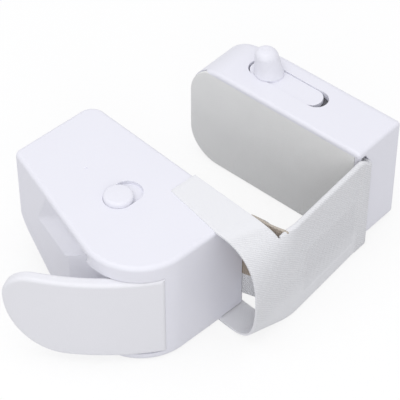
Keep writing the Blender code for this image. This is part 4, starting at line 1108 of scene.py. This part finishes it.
def make_slider():
    bar = stadium((SLOT_X, SLIDER_Y[0]), (SLOT_X, SLIDER_Y[1]), SLIDER_RADIUS, 24)
    slider = shape("slider_knob", prism(bar, SLIDER_LOW, SLIDER_TOP))
    round_edges(slider, GAP / 2, 2)
    neck = SLIDER_RADIUS - GAP
    profile = [(0, SLIDER_TOP - GAP), (neck, SLIDER_TOP - GAP), (neck, KNOB_FOOT)]
    profile += arc((KNOB_BASE_RADIUS - GAP, KNOB_FOOT + GAP), GAP, -pi / 2, KNOB_TAPER, 4)
    profile += arc((KNOB_TOP_RADIUS - KNOB_TOP_ROUND, KNOB_TOP - KNOB_TOP_ROUND), KNOB_TOP_ROUND,
                   KNOB_TAPER, pi / 2, 10)
    profile += [(KNOB_TOP_RADIUS * share, KNOB_TOP + rise) for share, rise in KNOB_CROWN]
    knob = lathe(profile, (SLOT_X, KNOB_Y))
    for vert in knob.verts:
        vert.co.y += KNOB_LEAN * max(vert.co.z - KNOB_FOOT, 0) / (KNOB_TOP - KNOB_FOOT)
    join(slider, knob)
    reach = KNOB_BASE_RADIUS - SLIDER_RADIUS
    foot = stadium((SLOT_X, KNOB_Y - reach), (SLOT_X, KNOB_Y + reach), SLIDER_RADIUS - GAP / 10, 24)
    join(slider, prism(foot, SLIDER_TOP - GAP, KNOB_FOOT + GAP))
    smooth(to_jaw(slider))
    finish(slider, PLASTIC, "white_plastic", "slider", "jaw_slider")


# Pads


def pad_solid(name, outline, back, face, crown, out):
    """A foam pad with soft edges and a faint crown; out is the sign of its face."""
    rings = [(inset_ring(outline, PAD_EDGE * 0.5), back),
             (inset_ring(outline, 0), back + (face - back) * 0.35)]
    for a in spaced(0, pi / 2, 6)[1:]:
        level = face - out * PAD_EDGE * (1 - sin(a))
        rings.append((inset_ring(outline, PAD_EDGE * (1 - cos(a))), level))
    rim = rings[-1][0]
    middle = sum(rim, Vector((0, 0))) / len(rim)
    for share in PAD_RINGS:
        ring = [point + (middle - point) * share for point in rim]
        rings.append((ring, face + out * crown * (1 - (1 - 2 * share) ** 2)))
    bm = bmesh.new()
    rings = [[bm.verts.new((level, point.x, point.y)) for point in ring] for ring, level in rings]
    bm.faces.new(rings[0])
    bm.faces.new(rings[-1])
    close_rings(bm, rings)
    return shape(name, bm)


def finish_pad(pad, material, slot, body, replaced):
    shade(pad, radians(50))
    finish(pad, material, slot, body, replaced)


def make_jaw_pad():
    front = JAW_FRONT + JAW_RIM_FRONT + GAP
    top = BODY_HEIGHT - JAW_RIM_TOP - GAP / 4
    meets = asin((top - BODY_HEIGHT + JAW_TOP_ROUND) / (JAW_TOP_ROUND - GAP))
    lower = (JAW_BACK - JAW_LOW_ROUND, JAW_LOW_ROUND)
    upper = (JAW_BACK - JAW_TOP_ROUND, BODY_HEIGHT - JAW_TOP_ROUND)
    outline = [(front, GAP)] + arc(lower, JAW_LOW_ROUND - GAP, -pi / 2, 0, 24)
    outline += arc(upper, JAW_TOP_ROUND - GAP, 0, meets, 14) + [(front, top)]
    pad = pad_solid("jaw_foam", outline, JAW_PAD_THICKNESS, PAD_SET_BACK, JAW_PAD_CROWN, -1)
    finish_pad(to_jaw(pad), FOAM, "grey_pad", "jaw", "jaw_pad")


def make_pressure_pad():
    low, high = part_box("pressure_pad")
    near_y, far_y = low.y + PAD_CORNER, high.y - PAD_CORNER
    near_z, far_z = low.z + PAD_CORNER, high.z - PAD_CORNER
    centres = ((far_y, near_z), (far_y, far_z), (near_y, far_z), (near_y, near_z))
    outline = []
    for i, centre in enumerate(centres):
        outline += arc(centre, PAD_CORNER, (i - 1) * pi / 2, i * pi / 2, 6)
    pad = pad_solid("pressure_foam", outline, low.x, high.x - PAD_SET_BACK, PRESSURE_PAD_CROWN, 1)
    finish_pad(pad, RUBBER, "rubber_pad", "plate", "pressure_pad")


# Strap


flat_areas = {}


def cloth(name, points, faces, maps, thickness, material, panels=None):
    """A sheet of cloth about a mid surface, with its flat maps, made a closed solid."""
    bm = bmesh.new()
    weave = bm.loops.layers.uv.new("cloth")
    panel = bm.loops.layers.uv.new("panel")
    verts = [bm.verts.new(p) for p in points]
    for corners in faces:
        face = bm.faces.new([verts[k] for k in corners])
        for loop, k in zip(face.loops, corners):
            loop[weave].uv = maps[k]
            loop[panel].uv = panels[k] if panels else (maps[k][0] - CLOTH_FOLD, points[k].z)
    obj = shape(name, bm)
    obj.data.materials.append(material)
    flat_areas[name] = sum(face.area for face in obj.data.polygons)
    sharp = radians(60)
    modify(obj, "SOLIDIFY", thickness=thickness, offset=0, use_even_offset=True)
    modify(obj, "BEVEL", width=thickness * 0.3, segments=2, limit_method="ANGLE", angle_limit=sharp)
    settle(obj)
    shade(obj, sharp)
    return obj


def hang(piece, hinge, slot, *nodes):
    """Bakes a piece of cloth's place into its mesh and hides the strap's solids that it stands in
    for.
    """
    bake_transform(piece)
    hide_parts(*nodes)
    return piece


def bow_point(t, v):
    """The bow round the body's end: t from top to bottom, v from its open side to the fold."""
    left = FACE_X - FLAP_WIDTH + LOOP_SLANT * t / pi
    right = FACE_X + LOOP_BULGE * sin(t) ** 2
    power = LOOP_ROUND + (LOOP_SQUARE - LOOP_ROUND) * v
    below = LOOP_LOW + (LOOP_LOW_FOLD - LOOP_LOW) * v
    power += (min(below, power) - power) * ease((t - pi / 2) / (pi / 4))
    reach = LOOP_REACH + (LOOP_FOLD_REACH - LOOP_REACH) * v
    middle, half = (FLAP_TOP + FLAP_LOW) / 2, (FLAP_TOP - FLAP_LOW) / 2
    up = cos(t)
    rise = abs(up) ** power * (1 if up > 0 else -1)
    out = reach * max(sin(t), 0) ** power
    return Vector((left + (right - left) * v, END_Y - out, middle + half * rise))


def bow_angles():
    first = [pi / 2 * sin(a) ** 2 for a in spaced(0, pi / 2, HALF_ROWS)]
    return first + [pi - t for t in first[-2::-1]]


def flap_row(y, z, left_shift):
    left = FACE_X - FLAP_WIDTH + left_shift
    return [Vector((x, y, z)) for x in spaced(left, FACE_X, BOW_COLUMNS - 1)]


def hermite(a, b, slope_a, slope_b, x):
    return (a * (2 * x ** 3 - 3 * x ** 2 + 1) + slope_a * (x ** 3 - 2 * x ** 2 + x)
            + b * (3 * x ** 2 - 2 * x ** 3) + slope_b * (x ** 3 - x ** 2))


def make_cover():
    """The flap, the bow and the lower flap as one grid of rows, with the band beside them."""
    shares = [(share, END_Y + FLAP_LENGTH * share) for share in spaced(0, 1, FLAP_ROWS)[1:]]
    rows = [flap_row(y, FLAP_TOP, FLAP_TAPER * share) for share, y in shares[::-1]]
    rows += [[bow_point(t, v) for v in spaced(0, 1, BOW_COLUMNS - 1)] for t in bow_angles()]
    rows += [flap_row(y, FLAP_LOW, LOOP_SLANT) for _, y in shares]
    runs = [[0.0] * BOW_COLUMNS]
    for above, below in zip(rows, rows[1:]):
        runs.append([run + (b - a).length for run, a, b in zip(runs[-1], above, below)])
    points, maps = [], []
    for row, row_runs in zip(rows, runs):
        for point, walked, at_bow in zip(row, row_runs, runs[FLAP_ROWS]):
            run = walked - at_bow
            down = -FLAP_MAP_STRETCH * run if run < 0 else run
            points.append(point)
            maps.append((CLOTH_FOLD - (point - row[-1]).length, down))
    columns = [range(c, len(points), BOW_COLUMNS) for c in range(BOW_COLUMNS)]
    faces = join_lines(columns) + add_band(rows, points, maps)
    cover = cloth("strap_cover_front", points, faces, maps, COVER_THICKNESS, COVER)
    return hang(cover, AT_FOLD, "woven_strap", "strap_loop", "strap_cover")


def add_band(rows, points, maps):
    """Carries the fold's column on as the band, with its edges turned over; gives its faces."""
    fold = [row[-1] for row in rows]
    first = min(range(FLAP_ROWS, len(rows) // 2), key=lambda r: abs(fold[r].z - BAND_TOP_JOIN))
    last = max(r for r in range(len(rows) // 2, len(rows)) if fold[r].z > BAND_LOW_JOIN)
    lines = range(first, last + 1)
    top, low = STRAP_HIGH - HEM, STRAP_LOW + HEM
    shares = [(fold[r].z - fold[last].z) / (fold[first].z - fold[last].z) for r in lines]
    runs = spaced(0, BAND_JOIN_RUN, 10)[1:-1] + spaced(BAND_JOIN_RUN, BAND_END, 20)
    columns = [[fold[r] for r in lines]]
    sections = [[r * BOW_COLUMNS + BOW_COLUMNS - 1 for r in lines]]
    for run in runs:
        column = []
        for r, share in zip(lines, shares):
            level = low + (top - low) * share
            point = on_bridge(run, -COVER_OFFSET, level)
            if run < BAND_JOIN_RUN:
                slope = (rows[r][-1] - rows[r][-2]).normalized() * BAND_JOIN_SLOPE
                end = on_bridge(BAND_JOIN_RUN, -COVER_OFFSET, level)
                point = hermite(fold[r], end, slope, ALONG * BAND_JOIN_SLOPE, run / BAND_JOIN_RUN)
            column.append(point)
        columns.append(column)
        sections.append(list(range(len(points), len(points) + len(column))))
        points += column
        maps += [(CLOTH_FOLD + run, maps[k][1]) for k in sections[0]]
    faces = join_lines(sections)
    for edge, inner in ((0, 1), (-1, -2)):
        hem = []
        for number, run in enumerate(runs, 1):
            along = columns[min(number + 1, len(runs))][edge] - columns[number - 1][edge]
            size = HEM_START + (1 - HEM_START) * ease(run / HEM_GROWTH)
            out = (columns[number][edge] - columns[number][inner]).normalized()
            hem.append(turn_edge(sections[number][edge], out, along, size, points, maps))
        faces += join_lines(hem)
    return faces


def turn_edge(edge, out, along, size, points, maps):
    """Turns cloth over an edge point towards the door; gives the indices from the edge on."""
    inward = out.cross(along).normalized()
    if inward.dot(INWARD) < 0:
        inward = -inward
    start, radius = points[edge], HEM * size
    offsets = [(radius * (1 - cos(a)), radius * sin(a)) for a in spaced(0, pi, 8)[1:]]
    offsets += [(2 * radius, -HEM_LEG * size * i / 2) for i in (1, 2)]
    step = HEM_MAP_STEP if out.z < 0 else -HEM_MAP_STEP
    indices = [edge]
    for i, (side, up) in enumerate(offsets, 1):
        indices.append(len(points))
        points.append(start + inward * side + out * up)
        maps.append((maps[edge][0], maps[edge][1] + step * i))
    return indices


def strip(name, path, edges, thickness, material, hem=False, start=None):
    """A band of cloth that stands on edge along a path of (x, y) points.

    edges gives its low and high edge from the run and the place. Where start is given, runs count
    from there, and the second map holds the depth below the upper edge.
    """
    path = [Vector((point[0], point[1], 0)) for point in path]
    points, maps, panels, sections, run = [], [], [], [], 0.0
    for i, place in enumerate(path):
        if i:
            run += (place - path[i - 1]).length
        low, high = edges(run, place.xy)
        sections.append(list(range(len(points), len(points) + STRIP_ROWS + 1)))
        for z in spaced(high, low, STRIP_ROWS):
            points.append(place + Vector((0, 0, z)))
            maps.append((run - (start or 0), BODY_HEIGHT - z))
            panels.append((run - (start or 0), high - z))
    faces = join_lines(sections)
    if hem:
        lines = []
        for i, section in enumerate(sections):
            along = path[min(i + 1, len(path) - 1)] - path[max(i - 1, 0)]
            lines.append(turn_edge(section[0], Vector((0, 0, 1)), along, 1.0, points, maps))
        faces += join_lines(lines)
    return cloth(name, points, faces, maps, thickness, material, None if start is None else panels)


def lead_in(side):
    """The band's last stretch before the jaw."""
    return [on_bridge(run, side, 0).xy for run in spaced(BAND_END, BAND_END + JAW_LEAD, 4)[:-1]]


def make_cover_end():
    turn = (COVER_END_X - TURN_RADIUS, TURN_RADIUS - COVER_OFFSET)
    inner = [(JAW_ENTRY, -COVER_OFFSET)] + arc(turn, TURN_RADIUS, -pi / 2, 0, 14)
    inner += [(COVER_END_X, JAW_FRONT + JAW_WALL + COVER_END_REACH)]
    path = lead_in(-COVER_OFFSET) + [in_jaw(x, y, 0).xy for x, y in inner]

    def edges(run, _):
        return STRAP_LOW, STRAP_HIGH - HEM - COVER_END_DIP * ease((run - DIP_START) / COVER_DIP_RUN)

    cover = strip("strap_cover_end_fold", path, edges, COVER_THICKNESS, COVER, hem=True)
    return hang(cover, AT_JAW, "woven_strap", "strap_cover_end")


def fold_line():
    """Where the liner leaves the body, and where it meets the band."""
    return Vector((FACE_X - LINER_THICKNESS / 2, END_Y - LINER_OUT)), on_bridge(LINER_JOIN, 0, 0).xy


def make_liner():
    start, end = fold_line()
    slot_y = END_Y + LINER_SLOT
    rod = (FACE_X - ROD_INSET, slot_y)
    inside = arc(rod, ROD_RADIUS + GAP + LINER_THICKNESS / 2, radians(-60), radians(-270), 14)
    inside += [(rod[0] + LINER_LEAD[0], slot_y + LINER_LEAD[1])]
    bend = (FACE_X - LINER_THICKNESS / 2 - LINER_BEND, slot_y - LINER_BEND)
    inside += arc(bend, LINER_BEND, pi / 2, 0, 8)
    path = inside + spaced(start, end, 14)
    path += [on_bridge(run, 0, 0).xy for run in spaced(LINER_JOIN, BAND_END, 14)[1:]]
    out_of_body = sum((Vector(b) - Vector(a)).length for a, b in zip(inside, path[1:]))
    fold = out_of_body + (end - start).length

    def edges(run, _):
        past = run - out_of_body
        ear = EAR_HEIGHT * ease(past / EAR_RISE) * (1 - EAR_LOSS * ease(past / EAR_FALL))
        return LINER_LOW, LINER_HIGH + ear * (1 - ease((run - fold) / EAR_END))

    liner = strip("strap_liner_front", path, edges, LINER_THICKNESS, WEBBING_PAINTED_AT_FOLD, start=out_of_body)
    return hang(liner, AT_FOLD, "liner_webbing", "strap_liner_anchor", "strap_liner")


def make_liner_fold():
    """Spare liner folded back on itself beside the fold, two layers on its door side."""
    start, end = fold_line()
    along = (end - start).normalized()
    side = Vector((-along.y, along.x))
    band, inner = ALONG.xy, INWARD.xy
    lines = []
    for layer in (1, 2):
        offset = layer * FOLD_PITCH
        near = start + side * offset + along * FOLD_START
        gap = FOLD.xy + inner * offset - near
        run = (gap.x * band.y - gap.y * band.x) / (along.x * band.y - along.y * band.x)
        corner = near + along * run
        before, after = corner - along * FOLD_BEND, corner + band * FOLD_BEND
        middle = corner + (band - along) * FOLD_BEND_PULL
        arm = corner + band * (FOLD_ARM - offset)
        lines.append(spaced(near, before, FOLD_STEPS) + [middle] + spaced(after, arm, 4))
    first, second = lines
    middle = (first[0] + second[0]) / 2
    turn = [middle - along * FOLD_PITCH * FOLD_TURN * sin(a) + side * FOLD_PITCH / 2 * -cos(a)
            for a in spaced(0, pi, 6)[1:-1]]
    reach = (second[FOLD_STEPS - 1] - second[0]).length

    def edges(_, place):
        share = (place - start).dot(along) / reach
        fall = FOLD_FALL * (0.4 * min(max(share, 0), 1) + 0.6 * ease((share - 0.6) / 0.6))
        layer = (place - start).dot(side) / FOLD_PITCH
        return FOLD_LOW, FOLD_TOP - fall - FOLD_LAYER_DROP * (layer - 1)

    path = first[::-1] + turn + second
    fold = strip("strap_liner_fold", path, edges, FOLD_THICKNESS, WEBBING_PAINTED_AT_FOLD, start=0.0)
    return hang(fold, AT_FOLD, "liner_webbing", "strap_liner_anchor")


def make_liner_tail():
    radius = TURN_RADIUS - COVER_OFFSET
    mouth = COVER_END_X - COVER_OFFSET
    inner = [(JAW_ENTRY, 0)] + arc((mouth - radius, radius), radius, -pi / 2, 0, 10)
    shift_start, shift_run = TAIL_SHIFT
    for y in spaced(radius, TAIL_LENGTH, 24)[1:]:
        inner.append((mouth + (TAIL_X - mouth) * ease((y - shift_start) / shift_run), y))
    rod = (TAIL_X + HEM_RADIUS - LINER_THICKNESS / 2, TAIL_LENGTH + HEM_RADIUS / 2)
    inner += arc(rod, HEM_RADIUS - LINER_THICKNESS / 2, TAIL_HEM_START, -pi / 2, 14)
    path = lead_in(0) + [in_jaw(x, y, 0).xy for x, y in inner]

    def edges(run, _):
        share = ease((run - DIP_START) / TAIL_DIP_RUN)
        return LINER_LOW, LINER_HIGH + (TAIL_HIGH - LINER_HIGH) * share

    tail = strip("strap_liner_back", path, edges, LINER_THICKNESS, WEBBING_PAINTED_AT_FOLD, start=FAR_FROM_FOLD)
    return hang(tail, AT_JAW, "liner_webbing", "strap_liner_tail")


# Finishes of the pieces that stay as the part's own solids, and the springs


def dress_nodes():
    # white plastic pieces inside the casings take the darker copy, as painted shade
    finishes = {"white_plastic": INNER_PLASTIC_PAINTED_SHADE, "grey_plastic": GREY_PLASTIC, "steel": STEEL,
                "grey_pad": FOAM, "rubber_pad": RUBBER,
                "woven_strap": COVER, "liner_webbing": WEBBING_PAINTED_AT_FOLD}
    slots = {part["node"]: part["material_slot"] for part in frame["record"]["subparts"]}
    for name, obj in frame["nodes"].items():
        obj.data.materials.clear()
        obj.data.materials.append(finishes[slots[name]])


def make_springs():
    """Smooth copies of the part's coils, each set on the body that carries it."""
    presses = (("plate_spring_1", "body", "lever_swing", Vector((1, 0, 0)), PLATE_TRAVEL),
               ("plate_spring_2", "body", "lever_swing", Vector((1, 0, 0)), PLATE_TRAVEL),
               ("slider_spring", "jaw", "slider_slide", -JAW_Y, SLIDER_TRAVEL))
    for name, body, joint, towards, travel in presses:
        coil = shape(name + "_coil", solid_of(name))
        coil.data.shade_smooth()
        finish(coil, STEEL, "steel", body, name)
        reach = [vert.co.dot(towards) for vert in coil.data.vertices]
        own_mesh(coil)
        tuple(towards)


# Light, floor and camera


def area_light(name, place, size, power):
    lamp = bpy.data.lights.new(name, "AREA")
    lamp.shape = "DISK"
    lamp.size = size
    lamp.energy = power
    obj = add_object(name, lamp)
    obj.location = place
    towards = Vector(LIT_PLACE) - Vector(place)
    obj.rotation_euler = towards.to_track_quat("-Z", "Y").to_euler()


def make_floor():
    """A floor that looks white to the camera and in reflections, and keeps the shadow."""
    bm = bmesh.new()
    bmesh.ops.create_grid(bm, x_segments=1, y_segments=1, size=FLOOR_REACH)
    floor = shape("floor", bm)
    floor.location.z = FLOOR_LEVEL
    material, tree, shader = nodes_of("pale_floor", Roughness=0.9)
    rays = node(tree, "ShaderNodeLightPath", "Is Camera Ray")
    seen = calculate("MAXIMUM", rays, rays.beside("Is Glossy Ray"))
    seen = calculate("MAXIMUM", seen, rays.beside("Is Transmission Ray"))
    feed(shader, Base_Color=mix_colours((0.60, 0.60, 0.60), (0.95, 0.95, 0.95), seen))
    lit = Value(tree, shader.outputs[0])
    glow = node(tree, "ShaderNodeEmission", Color=(1, 1, 1, 1))
    mixed = node(tree, "ShaderNodeMixShader")
    for socket, value in zip(mixed.socket.node.inputs, (seen * FLOOR_GLOW, lit, glow)):
        put(socket, value)
    feed(tree.nodes["Material Output"], Surface=mixed)
    floor.data.materials.append(material)


def make_light():
    scene = bpy.context.scene
    scene.world = bpy.data.worlds.new("studio")
    scene.world.use_nodes = True
    feed(scene.world.node_tree.nodes["Background"], Color=(0.98, 0.98, 1.0, 1), Strength=0.76)
    area_light("top_light", place=(-0.16, 0.06, 0.90), size=0.8, power=2.35)
    area_light("front_light", place=(-0.55, -0.62, 0.52), size=0.6, power=1.9)
    scene.view_settings.view_transform = "Standard"


def make_camera():
    camera = bpy.data.cameras.new("camera")
    camera.lens = CAMERA_LENS
    camera.sensor_width = 36
    obj = add_object("camera", camera)
    obj.location = CAMERA_PLACE
    obj.rotation_euler = (pi / 2 - CAMERA_DOWN, 0, CAMERA_HEADING)
    bpy.context.scene.camera = obj


make_camera()
make_floor()
make_light()
dress_nodes()
make_body()
make_base_screws()
make_button()
make_lever()
make_jaw()
make_slider()
make_jaw_pad()
make_pressure_pad()
make_springs()

# Each sheet of cloth, with the width and length it was cut to and what it rests on
for make, flat, rests in ((make_cover, (0.0530, 0.1120), "body_shell"),
                          (make_cover_end, (0.0380, 0.0120), "jaw_shell"),
                          (make_liner, (0.0340, 0.0760), "strap_rod"),
                          (make_liner_fold, (0.0240, 0.0340), "strap_liner_front"),
                          (make_liner_tail, (0.0315, 0.0640), "tail_rod")):
    piece = make()
    area = min(flat_areas[piece.name], flat[0] * flat[1])
